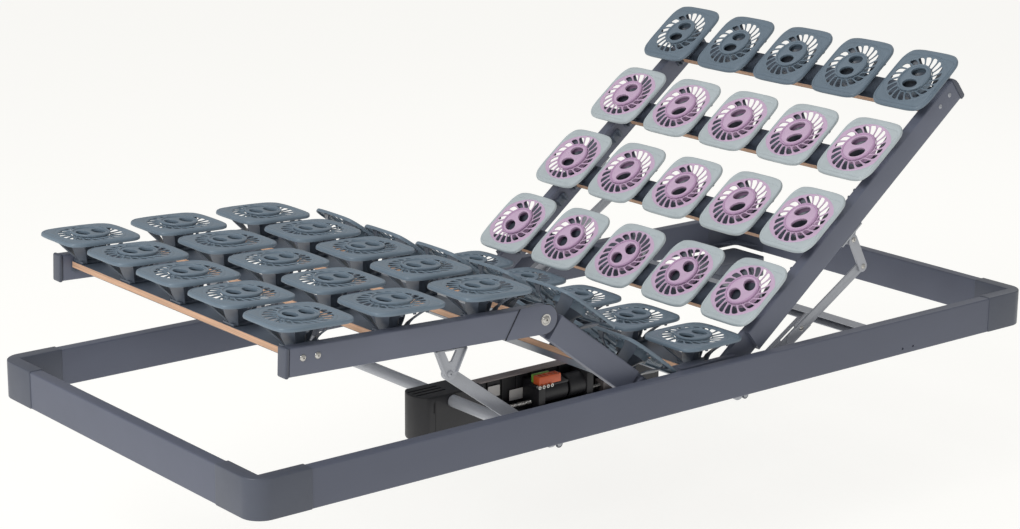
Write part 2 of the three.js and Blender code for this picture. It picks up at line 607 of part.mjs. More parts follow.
function addDrive() {
  addDriveHousing();
  const legFace = LEG_TUBE_X + LEVER_HALF_THICKNESS + LEG_SLIDER_GAP;
  const backFace = BACK_TUBE_X - LEVER_HALF_THICKNESS - BACK_SLIDER_GAP;
  addSlider('leg_slider', legFace, -1);
  addSlider('back_slider', backFace - SLIDER_LENGTH, 1);
  addMotor('leg_motor', [-60, -42], [-43, 22], [legFace + 48, -59]);
  addMotor('back_motor', [70, 88], [28, 71], [87, backFace - 50]);
}

// The supply box under the shelf of one head corner.
function addPowerSupply() {
  const shape = roundedRectangle(812, 958, 306, 414, 8);
  addMesh(bed, 'power_supply', layer(shape, [-50, -2], 3), CAP_PLASTIC);
}

addOuterFrame();
addCrossMember();
addTubeBrackets();
addSeat();
addThigh();
addCalf();
addBack();
addLegLinkage();
addBackLinkage();
addDrive();
addPowerSupply();

export default bed;
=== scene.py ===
"""Detailed pieces and materials for the adjustable slatted bed base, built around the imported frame.

Meshes are drawn in millimetres in the frame of the section they belong to (X along the section
towards the head end, Y towards the sleeper's right, Z off the rails) and stored in metres.
"""
import json
import math

import bmesh
import bpy
from mathutils import Matrix, Vector
from mathutils.geometry import tessellate_polygon


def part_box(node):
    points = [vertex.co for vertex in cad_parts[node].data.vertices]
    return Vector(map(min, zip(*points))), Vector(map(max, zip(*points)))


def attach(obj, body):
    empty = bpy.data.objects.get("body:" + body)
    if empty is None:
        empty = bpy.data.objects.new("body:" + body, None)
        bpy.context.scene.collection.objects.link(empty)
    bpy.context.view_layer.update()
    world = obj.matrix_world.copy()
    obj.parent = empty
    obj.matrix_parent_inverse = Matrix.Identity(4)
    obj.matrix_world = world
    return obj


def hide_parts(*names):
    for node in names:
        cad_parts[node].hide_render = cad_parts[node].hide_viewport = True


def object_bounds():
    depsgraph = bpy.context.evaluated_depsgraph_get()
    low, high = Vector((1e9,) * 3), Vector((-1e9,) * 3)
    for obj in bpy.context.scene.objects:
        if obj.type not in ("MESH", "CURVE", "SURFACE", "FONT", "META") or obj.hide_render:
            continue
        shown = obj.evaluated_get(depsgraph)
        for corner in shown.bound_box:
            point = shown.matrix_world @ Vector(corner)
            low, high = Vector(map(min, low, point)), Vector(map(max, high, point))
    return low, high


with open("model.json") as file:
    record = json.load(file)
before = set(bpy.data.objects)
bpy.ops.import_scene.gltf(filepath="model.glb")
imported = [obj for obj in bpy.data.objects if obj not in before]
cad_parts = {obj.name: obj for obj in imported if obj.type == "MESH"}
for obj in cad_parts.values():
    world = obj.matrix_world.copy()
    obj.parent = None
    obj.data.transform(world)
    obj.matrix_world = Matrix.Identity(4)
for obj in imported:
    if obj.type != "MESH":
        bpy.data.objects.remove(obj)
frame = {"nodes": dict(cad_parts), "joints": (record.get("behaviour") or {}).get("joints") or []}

CAD_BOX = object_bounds()
MM = 0.001
SIDES = (("left", -1), ("right", 1))
ENDS = (("foot", -1), ("head", 1))

# ---- driving dimensions, millimetres and degrees -------------------------------------------
HALF_LENGTH = 1000
HALF_WIDTH = 450
FRAME_HEIGHT = 75
FRAME_THICKNESS = 26
CAP_SKIN = 1.5
CAP_LEG = 120
CAP_RADIUS = 40
RAIL_HOLES_X = (611, 643)
FRAME_INNER_X = HALF_LENGTH - FRAME_THICKNESS
FRAME_INNER_Y = HALF_WIDTH - FRAME_THICKNESS

RAIL_INNER = 380
RAIL_OUTER = 405
RAIL_HALF = 26
LAP_SPLIT = 392.5
LEG_LAP = 34
BACK_LAP = 72
CALF_ANGLE = 2.2
BACK_ANGLE = 38.1

PLATE_HALF_LENGTH = 82
PLATE_HALF_WIDTH = 74
PLATE_SQUARENESS = 5.2  # exponent of the plate's outline, 2 being an ellipse
PLATE_TOP_Z = 70.4
DIAL_LIFT = 7
FAN_SLOTS = 20
FAN_SWIRL = math.radians(17)
HUB_RADIUS = 36.5

TUBE_RADIUS = 12.5
TUBE_Z = -17
LEVER_LENGTH = 60
JOURNAL_END = 411
LEG_ARM_END = (-540, 165)
BACK_ARM_END = (534.5, 192)
BACK_LINK_TOP = (502, 254)
V_POINT = (-210, -75)
LINK_EAR = (395.8, -44.7)

DRIVE_Y = (-82, -4)
DRIVE_FLOOR_Z = -96
DRIVE_AXIS_Y = -43
SPINDLE_Z = -76


# ---- places read from the frame --------------------------------------------------------------
def joint_place(name):
    """A joint's point at rest, in metres."""
    return Vector(next(j for j in frame["joints"] if j["name"] == name)["pos_m"])


THIGH_PIVOT = joint_place("thigh_lift")
KNEE_PIVOT = joint_place("knee_fold")
BACK_PIVOT = joint_place("back_lift")
LEG_TUBE_X = joint_place("leg_crank_turn").x / MM
BACK_TUBE_X = joint_place("back_crank_turn").x / MM
PIVOT_Z = THIGH_PIVOT.z / MM
THIGH_ANGLE = math.degrees(math.atan2(KNEE_PIVOT.z - THIGH_PIVOT.z, THIGH_PIVOT.x - KNEE_PIVOT.x))
THIGH_LENGTH = (KNEE_PIVOT - THIGH_PIVOT).length / MM


def section_frame(origin, degrees):
    return Matrix.Translation(origin) @ Matrix.Rotation(math.radians(degrees), 4, "Y")


SECTION = {
    "base": Matrix.Identity(4),
    "seat": Matrix.Translation((0, 0, PIVOT_Z * MM)),
    "thigh": section_frame(THIGH_PIVOT, THIGH_ANGLE),
    "calf": section_frame(KNEE_PIVOT, CALF_ANGLE),
    "back": section_frame(BACK_PIVOT, -BACK_ANGLE),
}
BODY = {"base": "base", "seat": "base", "thigh": "thigh", "calf": "calf", "back": "back"}


def local_box(node, section):
    """A CAD node's lowest and highest corners in a section's frame, in millimetres."""
    into = SECTION[section].inverted()
    points = [into @ v.co / MM for v in frame["nodes"][node].data.vertices]
    low = Vector(min(p[i] for p in points) for i in range(3))
    high = Vector(max(p[i] for p in points) for i in range(3))
    return low, high


def across(side, inner, outer):
    """The Y limits on one side, from two distances from the middle."""
    return (inner, outer) if side > 0 else (-outer, -inner)


# ---- materials ---------------------------------------------------------------------------------
def linear(r, g, b):
    """An sRGB colour out of 255 as the linear colour that a shader takes."""
    def channel(c):
        c /= 255
        return c / 12.92 if c <= 0.04045 else ((c + 0.055) / 1.055) ** 2.4
    return (channel(r), channel(g), channel(b), 1)


def shaded(colour, factor):
    return tuple(min(1, c * factor) for c in colour[:3]) + (1,)


class Finish:
    """A Principled material whose colour, roughness and bump come from noise in the piece's own space."""

    def __init__(self, name, colour, roughness, metallic=0.0, specular=0.5, coat=0.0):
        self.material = bpy.data.materials.new(name)
        self.material.use_nodes = True
        self.nodes = self.material.node_tree.nodes
        self.links = self.material.node_tree.links
        self.shader = self.nodes["Principled BSDF"]
        self.colour = colour
        self.roughness = roughness
        self.shader.inputs["Base Color"].default_value = colour
        self.shader.inputs["Roughness"].default_value = roughness
        self.shader.inputs["Metallic"].default_value = metallic
        self.shader.inputs["Specular IOR Level"].default_value = specular
        self.shader.inputs["Coat Weight"].default_value = coat
        self.shader.inputs["Coat Roughness"].default_value = 0.25

    def noise(self, scale, stretch=(1, 1, 1), detail=3.0):
        """Noise with about `scale` cells to a metre, drawn out along the axes with a small stretch."""
        place = self.nodes.new("ShaderNodeTexCoord")
        mapping = self.nodes.new("ShaderNodeMapping")
        mapping.inputs["Scale"].default_value = stretch
        texture = self.nodes.new("ShaderNodeTexNoise")
        texture.inputs["Scale"].default_value = scale
        texture.inputs["Detail"].default_value = detail
        self.links.new(place.outputs["Object"], mapping.inputs["Vector"])
        self.links.new(mapping.outputs["Vector"], texture.inputs["Vector"])
        return texture.outputs["Fac"]

    def vary_colour(self, source, dark=0.94, light=1.06):
        ramp = self.nodes.new("ShaderNodeValToRGB")
        ramp.color_ramp.elements[0].position = 0.3
        ramp.color_ramp.elements[1].position = 0.7
        ramp.color_ramp.elements[0].color = shaded(self.colour, dark)
        ramp.color_ramp.elements[1].color = shaded(self.colour, light)
        self.links.new(source, ramp.inputs["Fac"])
        self.links.new(ramp.outputs["Color"], self.shader.inputs["Base Color"])
        return self

    def vary_roughness(self, source, spread=0.06):
        span = self.nodes.new("ShaderNodeMapRange")
        span.inputs["To Min"].default_value = self.roughness - spread
        span.inputs["To Max"].default_value = self.roughness + spread
        self.links.new(source, span.inputs["Value"])
        self.links.new(span.outputs["Result"], self.shader.inputs["Roughness"])
        return self

    def emboss(self, source, depth, strength=0.35):
        bump = self.nodes.new("ShaderNodeBump")
        bump.inputs["Strength"].default_value = strength
        bump.inputs["Distance"].default_value = depth * MM
        self.links.new(source, bump.inputs["Height"])
        self.links.new(bump.outputs["Normal"], self.shader.inputs["Normal"])
        return self


def foil_finish(name, colour, roughness, coat=0.0):
    """Printed foil pressed over a board: long faint pores and a soft satin."""
    finish = Finish(name, colour, roughness, coat=coat)
    pores = finish.noise(420, (0.05, 1, 1), 4)
    finish.vary_colour(finish.noise(9, (0.4, 1, 1)), 0.95, 1.05)
    finish.vary_roughness(pores, 0.05).emboss(pores, 0.12, 0.3)
    return finish.material


def moulded_finish(name, colour, roughness, texture_depth=0.1, specular=0.5, coat=0.0):
    """Moulded plastic: a fine spark-eroded grain and slow shifts of shade."""
    finish = Finish(name, colour, roughness, specular=specular, coat=coat)
    grain = finish.noise(1100, detail=2)
    finish.vary_colour(finish.noise(14), 0.95, 1.05)
    finish.vary_roughness(finish.noise(60), 0.05).emboss(grain, texture_depth, 0.3)
    return finish.material


def painted_steel(name, colour, roughness, metallic):
    """Silver paint on steel: slight orange peel and a fleck in the gloss."""
    finish = Finish(name, colour, roughness, metallic)
    finish.vary_colour(finish.noise(700, detail=1), 0.95, 1.05)
    finish.vary_roughness(finish.noise(40), 0.07).emboss(finish.noise(260, detail=1), 0.1, 0.25)
    return finish.material


def zinc_steel(name, colour, roughness):
    """Bright zinc with fine turning marks."""
    finish = Finish(name, colour, roughness, 0.95)
    marks = finish.noise(900, (1, 0.05, 1), 2)
    finish.vary_colour(finish.noise(120), 0.85, 1.08).vary_roughness(marks, 0.1).emboss(marks, 0.06, 0.3)
    return finish.material


def layered_wood(name, colour):
    """Bent veneer seen on edge: thin glued layers, with grain running along Y."""
    finish = Finish(name, colour, 0.62, specular=0.3)
    layers = finish.noise(1, (12, 6, 620), 2)
    finish.vary_colour(layers, 0.7, 1.16)
    fibres = finish.noise(300, (1, 0.04, 1), 4)
    finish.vary_roughness(fibres, 0.08).emboss(fibres, 0.25, 0.4)
    return finish.material


def ribbed_finish(name, colour, roughness):
    """The drive's dull lid moulding: faint drawn lines along the tray."""
    finish = Finish(name, colour, roughness)
    lines = finish.noise(500, (0.03, 1, 1), 3)
    finish.vary_colour(finish.noise(20), 0.92, 1.08).vary_roughness(lines, 0.05).emboss(lines, 0.15, 0.35)
    return finish.material


FINISH = {
    "frame_foil": foil_finish("frame_foil", linear(89, 94, 110), 0.46),
    # A lighter copy of frame_foil: painted light on the section rails and knee covers, which the plates above
    # them shade.
    "section_foil_painted_light": foil_finish("section_foil_painted_light", linear(103, 108, 124), 0.46),
    "slat_foil": foil_finish("slat_foil", linear(88, 97, 110), 0.42, coat=0.1),
    "cap_plastic": moulded_finish("cap_plastic", linear(78, 83, 96), 0.42),
    "plate_plastic": moulded_finish("plate_plastic", linear(108, 124, 138), 0.4),
    "module_plastic": moulded_finish("module_plastic", linear(84, 92, 104), 0.4),
    "touch_plastic": moulded_finish("touch_plastic", linear(206, 178, 206), 0.45, 0.05),
    # A darker copy of the lilac touch_plastic: painted shade on the lilac dials' raised ring and barrel walls.
    "touch_wall_painted_shade": moulded_finish("touch_wall_painted_shade", linear(190, 156, 190), 0.5, 0.05),
    "touch_border": moulded_finish("touch_border", linear(186, 196, 200), 0.45, 0.05),
    "slat_wood": layered_wood("slat_wood", linear(212, 172, 143)),
    "grey_steel": painted_steel("grey_steel", linear(172, 175, 182), 0.42, 0.2),
    "bolt_steel": zinc_steel("bolt_steel", linear(196, 194, 190), 0.28),
    "drive_plastic": moulded_finish("drive_plastic", linear(29, 29, 33), 0.5, 0.15),
    "drive_flange": ribbed_finish("drive_flange", linear(146, 137, 136), 0.5),
    "plug_orange": moulded_finish("plug_orange", linear(204, 92, 48), 0.35, 0.05),
    "plug_green": moulded_finish("plug_green", linear(120, 168, 70), 0.35, 0.05),
    "label_white": moulded_finish("label_white", linear(224, 221, 219), 0.6, 0.03),
}


# ---- solid building, in millimetres ------------------------------------------------------------
PLANES = {
    "xy": lambda u, v, w: (u, v, w),
    "xz": lambda u, v, w: (u, w, v),
    "yz": lambda u, v, w: (w, u, v),
}


def soften(bm, width, segments=2, angle=40):
    """Rounds every edge sharper than the angle."""
    limit = math.radians(angle)
    sharp = [e for e in bm.edges if len(e.link_faces) == 2 and e.calc_face_angle(0) > limit]
    bmesh.ops.bevel(bm, geom=sharp, offset=width, offset_type="OFFSET", segments=segments,
                    profile=0.5, affect="EDGES", clamp_overlap=True)
    return bm


def prism(plane, loops, level0, level1, bevel=0.0, segments=2):
    """A flat outline with any holes, made solid between two levels of the third axis."""
    bm = bmesh.new()
    outlines = [[Vector((u, v, 0)) for u, v in loop] for loop in loops]
    flat = [p for outline in outlines for p in outline]
    low, high = ([bm.verts.new(PLANES[plane](p.x, p.y, w)) for p in flat] for w in (level0, level1))
    for triangle in tessellate_polygon(outlines):
        for ring in (low, high):
            bm.faces.new([ring[i] for i in triangle])
    start = 0
    for loop in loops:
        for i in range(len(loop)):
            a, b = start + i, start + (i + 1) % len(loop)
            bm.faces.new((low[a], low[b], high[b], high[a]))
        start += len(loop)
    bmesh.ops.recalc_face_normals(bm, faces=bm.faces)
    bmesh.ops.dissolve_limit(bm, angle_limit=math.radians(1), verts=bm.verts, edges=bm.edges)
    if bevel:
        soften(bm, bevel, segments)
    return bm


def block(x, y, z, bevel=1.0, segments=2):
    """A box between two limits on each axis, with softened edges."""
    outline = [(x[0], y[0]), (x[1], y[0]), (x[1], y[1]), (x[0], y[1])]
    return prism("xy", [outline], *z, bevel, segments)


def arc(cx, cy, radius, start, end, steps=12):
    """Points along an arc, in degrees."""
    turns = (math.radians(start + (end - start) * i / steps) for i in range(steps + 1))
    return [(cx + radius * math.cos(t), cy + radius * math.sin(t)) for t in turns]


def circle(cx, cy, radius, steps=32):
    return arc(cx, cy, radius, 0, 360, steps)[:-1]


def rounded(x0, x1, y0, y1, r, steps=6):
    """A rectangle with round corners."""
    return (arc(x1 - r, y0 + r, r, -90, 0, steps) + arc(x1 - r, y1 - r, r, 0, 90, steps)
            + arc(x0 + r, y1 - r, r, 90, 180, steps) + arc(x0 + r, y0 + r, r, 180, 270, steps))


def bar_outline(start, end, half):
    """A straight bar with round ends between two points."""
    turn = math.degrees(math.atan2(end[1] - start[1], end[0] - start[0]))
    return arc(*end, half, turn - 90, turn + 90, 14) + arc(*start, half, turn + 90, turn + 270, 14)


def turned(axis, centre, profile, segments=40):
    """A profile of (radius, level) points turned about an axis through centre. A radius of 0 closes it."""
    order = {
        "x": lambda a, b, w: (w, a, b),
        "y": lambda a, b, w: (a, w, b),
        "z": lambda a, b, w: (a, b, w),
    }[axis]
    bm = bmesh.new()
    rings = []
    for radius, level in profile:
        if radius == 0:
            rings.append([bm.verts.new(order(*centre, level))] * segments)
            continue
        turns = (2 * math.pi * i / segments for i in range(segments))
        rings.append([bm.verts.new(order(centre[0] + radius * math.cos(t), centre[1] + radius * math.sin(t),
                                         level))
                      for t in turns])
    closed = profile[0][0] > 0
    for k in range(len(rings) - (0 if closed else 1)):
        ring, after = rings[k], rings[(k + 1) % len(rings)]
        for i in range(segments):
            j = (i + 1) % segments
            corners = list(dict.fromkeys((ring[i], ring[j], after[j], after[i])))
            if len(corners) > 2:
                bm.faces.new(corners)
    bmesh.ops.recalc_face_normals(bm, faces=bm.faces)
    return bm


def rod(axis, centre, radius, a0, a1, chamfer=0.6, segments=40):
    profile = [(0, a0), (radius - chamfer, a0), (radius, a0 + chamfer), (radius, a1 - chamfer),
               (radius - chamfer, a1), (0, a1)]
    return turned(axis, centre, profile, segments)


def domed_screw(axis, centre, face, out, radius=7.5):
    """A low domed head with a socket, standing on a face and pointing outwards (out is +1 or -1)."""
    height = 0.45 * radius
    steps = 6
    profile = [(0, face - out), (radius, face - out)]
    for i in range(steps):
        t = math.pi / 2 * i / steps
        profile.append((radius * math.cos(t), face + out * height * math.sin(t)))
        if profile[-1][0] < 0.42 * radius:
            break
    rim = profile[-1][1]
    profile += [(0.34 * radius, rim), (0.3 * radius, rim - 0.6 * out * height), (0, rim - 0.62 * out * height)]
    return turned(axis, centre, profile, 28)


def combined(*solids):
    """Several closed shells in one bmesh, each keeping its own surface."""
    whole = bmesh.new()
    for solid in solids:
        carrier = bpy.data.meshes.new("carrier")
        solid.to_mesh(carrier)
        solid.free()
        whole.from_mesh(carrier)
        bpy.data.meshes.remove(carrier)
    return whole


def carried(solid):
    """A temporary object that holds a solid."""
    mesh = bpy.data.meshes.new("solid")
    bmesh.ops.recalc_face_normals(solid, faces=solid.faces)
    solid.to_mesh(mesh)
    solid.free()
    item = bpy.data.objects.new("solid", mesh)
    bpy.context.scene.collection.objects.link(item)
    return item


def boolean(operation, base, tools):
    """base with every tool joined to it (UNION) or taken out of it (DIFFERENCE)."""
    body = carried(base)
    holders = [carried(tool) for tool in tools]
    for holder in holders:
        step = body.modifiers.new("step", "BOOLEAN")
        step.operation = operation
        step.solver = "EXACT"
        step.object = holder
    result = bmesh.new()
    result.from_mesh(body.evaluated_get(bpy.context.evaluated_depsgraph_get()).data)
    for item in (body, *holders):
        mesh = item.data
        bpy.data.objects.remove(item)
        bpy.data.meshes.remove(mesh)
    return result


def joined(base, *tools):
    return boolean("UNION", base, tools)


def cut(base, *tools):
    return boolean("DIFFERENCE", base, tools)


def mesh_of(name, bm, *slots, sharp=35):
    """Mesh data in metres, smooth except at its sharp edges, with its materials."""
    bmesh.ops.recalc_face_normals(bm, faces=bm.faces)
    bmesh.ops.scale(bm, vec=(MM, MM, MM), verts=bm.verts)
    mesh = bpy.data.meshes.new(name)
    bm.to_mesh(mesh)
    bm.free()
    mesh.shade_smooth()
    mesh.set_sharp_from_angle(angle=math.radians(sharp))
    for slot in slots:
        mesh.materials.append(FINISH[slot])
    return mesh


def place(name, mesh, section, slot, at=(0, 0, 0), turn=0.0, replaces=(), body=None):
    """Puts mesh data in a section's frame, turned about Z, and makes it ride there."""
    item = bpy.data.objects.new(name, mesh)
    bpy.context.scene.collection.objects.link(item)
    local = Matrix.Translation(Vector(at) * MM) @ Matrix.Rotation(math.radians(turn), 4, "Z")
    item.matrix_world = SECTION[section] @ local
    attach(item, body or BODY[section])
    if replaces:
        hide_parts(*replaces)
    return item


def add(name, bm, section, slot, finish=None, **where):
    """A one-off piece made straight from its solid."""
    return place(name, mesh_of(name, bm, finish or slot), section, slot, **where)


# ---- camera, light and floor ---------------------------------------------------------------------
def add_camera():
    data = bpy.data.cameras.new("camera")
    data.sensor_width = 36
    data.lens = 86.35
    data.clip_end = 200
    camera = bpy.data.objects.new("camera", data)
    right = Vector((0.777759, -0.628513, 0.007930))
    up = Vector((0.156332, 0.205644, 0.966060))
    back = Vector((-0.608811, -0.750122, 0.258198))
    camera.matrix_world = Matrix.Translation((-3.11219, -3.73302, 1.49608)) @ Matrix(
        (right, up, back)).transposed().to_4x4()
    bpy.context.scene.collection.objects.link(camera)
    bpy.context.scene.camera = camera


def add_light(name, place_m, target, size, power):
    data = bpy.data.lights.new(name, "AREA")
    data.shape = "DISK"
    data.size = size
    data.energy = power
    light = bpy.data.objects.new(name, data)
    light.location = place_m
    light.rotation_euler = (Vector(target) - Vector(place_m)).to_track_quat("-Z", "Y").to_euler()
    bpy.context.scene.collection.objects.link(light)


def add_studio():
    world = bpy.data.worlds.new("studio")
    world.use_nodes = True
    sky = world.node_tree.nodes["Background"]
    sky.inputs["Color"].default_value = (1, 0.995, 0.98, 1)
    sky.inputs["Strength"].default_value = 0.42
    bpy.context.scene.world = world
    bpy.context.scene.view_settings.view_transform = "Standard"
    add_light("top_softbox", (-0.6, 0.6, 4.2), (0, 0, 0), 4.0, 26)
    add_light("foot_softbox", (-4.4, -1.0, 3.0), (0.3, 0, 0.3), 2.4, 120)
    add_light("head_softbox", (3.6, 1.2, 2.8), (0.4, 0, 0.3), 2.4, 14)

    floor_z = CAD_BOX[0][2] - 0.25
    reach = 40
    corners = [(-reach, -reach, 0), (reach, -reach, 0), (reach, reach, 0), (-reach, reach, 0)]
    mesh = bpy.data.meshes.new("floor")
    mesh.from_pydata(corners, [], [(0, 1, 2, 3)])
    paper = Finish("studio_paper", linear(140, 140, 138), 0.9, specular=0.0)
    paper.shader.inputs["Emission Color"].default_value = linear(255, 254, 251)
    paper.shader.inputs["Emission Strength"].default_value = 0.82
    paper.vary_colour(paper.noise(0.4), 0.995, 1.0)
    mesh.materials.append(paper.material)
    floor = bpy.data.objects.new("floor", mesh)
    floor.location.z = floor_z
    bpy.context.scene.collection.objects.link(floor)


# ---- spring rows ----------------------------------------------------------------------------------
def plate_edge(turn):
    """Distance from a plate's centre to its outline in a direction."""
    x = abs(math.cos(turn)) / PLATE_HALF_LENGTH
    y = abs(math.sin(turn)) / PLATE_HALF_WIDTH
    return (x ** PLATE_SQUARENESS + y ** PLATE_SQUARENESS) ** (-1 / PLATE_SQUARENESS)


def ellipse_edge(turn, a, b):
    return 1 / math.hypot(math.cos(turn) / a, math.sin(turn) / b)


def engraved_edge(turn):
    """The engraved line inside the rim: straight across near the head end, following the sides elsewhere."""
    inset = plate_edge(turn) - 6
    to_head = 64 / math.cos(turn) if math.cos(turn) > 0.05 else inset
    to_foot = -72 / math.cos(turn) if math.cos(turn) < -0.05 else inset
    return min(inset, to_head, to_foot)


def plate_rings(turn):
    """(radius, drop below the crown) from the rim inwards in one direction. Drops draw rim and grooves."""
    rim = plate_edge(turn)
    touch = min(ellipse_edge(turn, 67, 75), rim - 6.5)
    line = max(engraved_edge(turn), touch + 2.2)
    fan = ellipse_edge(turn, 63, 60)
    fan_middle = (fan + HUB_RADIUS + 2.6) / 2
    return [(rim - 1, 8.2), (rim, 6.8), (rim - 0.2, 2), (rim - 2.6, 0.2), (line + 1.3, 0), (line, 2.3),
            (line - 1.3, 0), (touch, 0), (touch - 1, 1.5), (touch - 2, 0), (fan + 1.6, 0.2), (fan, 0.8),
            (fan_middle, 1.4), (HUB_RADIUS + 2.6, 1.6), (HUB_RADIUS + 0.9, 2.0)]


TOUCH_RING = 8  # rings from here inwards lie in the coloured oval
FAN_RING = 11  # slots lie between this ring and the one two further in
SLOT_STEPS = (0, 0.13, 0.26, 0.63)  # where the columns stand in a slot's share of the turn: rib, then gap
STEPS_PER_SLOT = len(SLOT_STEPS)


def plate_mesh(name, *slots):
    """A crowned plate with a rolled rim, engraved lines and a fan of swirled slots round an open hub."""
    bm = bmesh.new()
    steps = FAN_SLOTS * STEPS_PER_SLOT
    columns = []
    for k in range(steps):
        turn = 2 * math.pi * (k // STEPS_PER_SLOT + SLOT_STEPS[k % STEPS_PER_SLOT]) / FAN_SLOTS
        column = []
        for i, (radius, drop) in enumerate(plate_rings(turn)):
            depth_in = max(0, min(1, (i - FAN_RING + 1) / 3)) if i < FAN_RING + 3 else 1
            swirl = turn - FAN_SWIRL * depth_in
            blade_tilt = 0.0
            if FAN_RING < i <= FAN_RING + 2:
                blade_tilt = (0.7, 0.2, -1.1, -0.4)[k % STEPS_PER_SLOT]
            if i < FAN_RING - 1:
                edge = radius
            else:
                edge = plate_rings(swirl)[i][0]
            x, y = edge * math.cos(swirl), edge * math.sin(swirl)
            crown = 1.3 * (x * x + y * y) / 10000
            column.append(bm.verts.new((x, y, PLATE_TOP_Z - drop - crown + blade_tilt)))
        columns.append(column)
    for k in range(steps):
        column, after = columns[k], columns[(k + 1) % steps]
        is_slot = k % STEPS_PER_SLOT >= STEPS_PER_SLOT / 2
        for i in range(len(column) - 1):
            if is_slot and FAN_RING <= i < FAN_RING + 2:
                continue
            face = bm.faces.new((column[i], column[i + 1], after[i + 1], after[i]))
            face.material_index = 1 if len(slots) > 1 and i < TOUCH_RING else 0
    bmesh.ops.recalc_face_normals(bm, faces=bm.faces)
    if sum(f.normal.z for f in bm.faces) < 0:
        bmesh.ops.reverse_faces(bm, faces=bm.faces)
    item = bpy.data.objects.new("plate_form", bpy.data.meshes.new("plate_form"))
    bpy.context.scene.collection.objects.link(item)
    bm.to_mesh(item.data)
    bm.free()
    wall = item.modifiers.new("wall", "SOLIDIFY")
    wall.thickness = 2.6
    wall.offset = -1
    smooth = item.modifiers.new("smooth", "SUBSURF")
    smooth.levels = 1
    smooth.render_levels = 1
    solid = bmesh.new()
    solid.from_mesh(item.evaluated_get(bpy.context.evaluated_depsgraph_get()).data)
    form = item.data
    bpy.data.objects.remove(item)
    bpy.data.meshes.remove(form)
    return mesh_of(name, solid, *slots, sharp=50)


def oval(cx, half_x, half_y, steps=28):
    """An egg-straight oval, longer in Y."""
    turns = (2 * math.pi * i / steps for i in range(steps))
    return [(cx + half_x * math.cos(t), half_y * math.sin(t)) for t in turns]


def dial_mesh(name, top_slot, wall_slot):
    """The rotary firmness dial: a disc with two oval finger holes, a raised ring and a barrel below."""
    disc = prism("xy", [circle(0, 0, 34.5, 56), oval(-17, 12.2, 18.6), oval(17, 12.2, 18.6)], 59.5, 65.2, 0.9)
    ring = turned("z", (0, 0), [(33.5, 62), (37.4, 62), (38.2, 64.2), (37.6, 66.3), (36.2, 67.2), (34.6, 66.9),
                                (33.5, 65.6)], 56)
    barrel = turned("z", (0, 0), [(31.5, 46), (33.5, 46), (34.2, 61), (31.8, 61)], 48)
    # The ring and barrel take the wall slot; on the lilac dials that is the darker lilac copy, painted shade on
    # the ring's outer wall.
    for index, solid in enumerate((disc, ring, barrel)):
        for face in solid.faces:
            face.material_index = 1 if index else 0
    return mesh_of(name, combined(disc, ring, barrel), top_slot, wall_slot)


def leaf(points, width0, width1, thickness):
    """A thin strap bent along points in space, its width running square to its own heading."""
    bm = bmesh.new()
    rings = []
    count = len(points)
    for i, point in enumerate(points):
        heading = (points[min(i + 1, count - 1)] - points[max(i - 1, 0)]).normalized()
        flat = Vector((-heading.y, heading.x, 0)).normalized()
        normal = heading.cross(flat).normalized()
        half = (width0 + (width1 - width0) * i / (count - 1)) / 2
        rings.append([bm.verts.new(point + flat * s * half + normal * t * thickness / 2)
                      for s, t in ((-1, -1), (1, -1), (1, 1), (-1, 1))])
    for ring, after in zip(rings, rings[1:]):
        for i in range(4):
            j = (i + 1) % 4
            bm.faces.new((ring[i], ring[j], after[j], after[i]))
    bm.faces.new(rings[0][::-1])
    bm.faces.new(rings[-1])
    return soften(bm, 0.6, 1, 50)


def module_mesh(name, half_slat):
    """The carrier under a plate: a foot on the slat, a tapered core and four bent spring leaves."""
    solids = [block((-half_slat + 2, half_slat - 2), (-18, 18), (13.1, 18), 1.5)]
    core = [(8, 17), (12, 17), (14, 34), (24, 48), (32.5, 56), (30.5, 56), (22, 49), (11.5, 35)]
    solids.append(turned("z", (0, 0), core, 40))
    for x_sign, y_sign in ((-1, -1), (1, -1), (1, 1), (-1, 1)):
        path = []
        for i in range(9):
            t = i / 8
            reach = t * t * (3 - 2 * t)
            path.append(Vector((x_sign * (22 + 36 * t), y_sign * (13 + 31 * reach), 16 + 50.5 * t ** 0.85)))
        solids.append(leaf(path, 20, 27, 2.8))
    for y_sign in (-1, 1):
        for x in (-28, 0, 28):
            y = y_sign * (PLATE_HALF_WIDTH - 5)
            solids.append(block((x - 3, x + 3), (y - 1.6, y + 1.6), (58, 64), 0.6, 1))
    return mesh_of(name, combined(*solids), "module_plastic")


def s_ribbon(y0, side, thickness=2.6):
    """The S of a rubber slat suspension seen along the bed, as one closed outline in Y-Z."""
    centre = [(0.5, 19.5)] + arc(9, 14.5, 5, 90, -90, 7) + arc(6, 3.5, 6, 90, 270, 8) + [(14.5, -2.5)]
    outline = []
    for offset in (thickness / 2, -thickness / 2):
        edge = []
        for i, (u, v) in enumerate(centre):
            before, after = centre[max(i - 1, 0)], centre[min(i + 1, len(centre) - 1)]
            du, dv = after[0] - before[0], after[1] - before[1]
            length = math.hypot(du, dv)
            edge.append((u - dv / length * offset, v + du / length * offset))
        outline += edge if offset > 0 else edge[::-1]
    return [(side * (y0 + u), v) for u, v in outline]


def holder_mesh(name, side, half_width):
    """A slat holder on a rail's inner face: a foot plate, the rubber S and the sleeve on the slat's end."""
    inner = 361
    ribbon = prism("yz", [s_ribbon(inner + 2, side)], -half_width, half_width, 0.4, 1)
    foot = prism("xz", [rounded(-half_width - 3, half_width + 3, -9, 7, 4)], *across(side, 376, 379.6), 0.6, 1)
    sleeve = prism("yz", [[(side * y, z) for y, z in ((371, -1.2), (377, -1.2), (377, 14.2), (371, 14.2))]],
                   -half_width + 3, half_width - 3, 1.2)
    return mesh_of(name, combined(ribbon, foot, sleeve), "module_plastic")


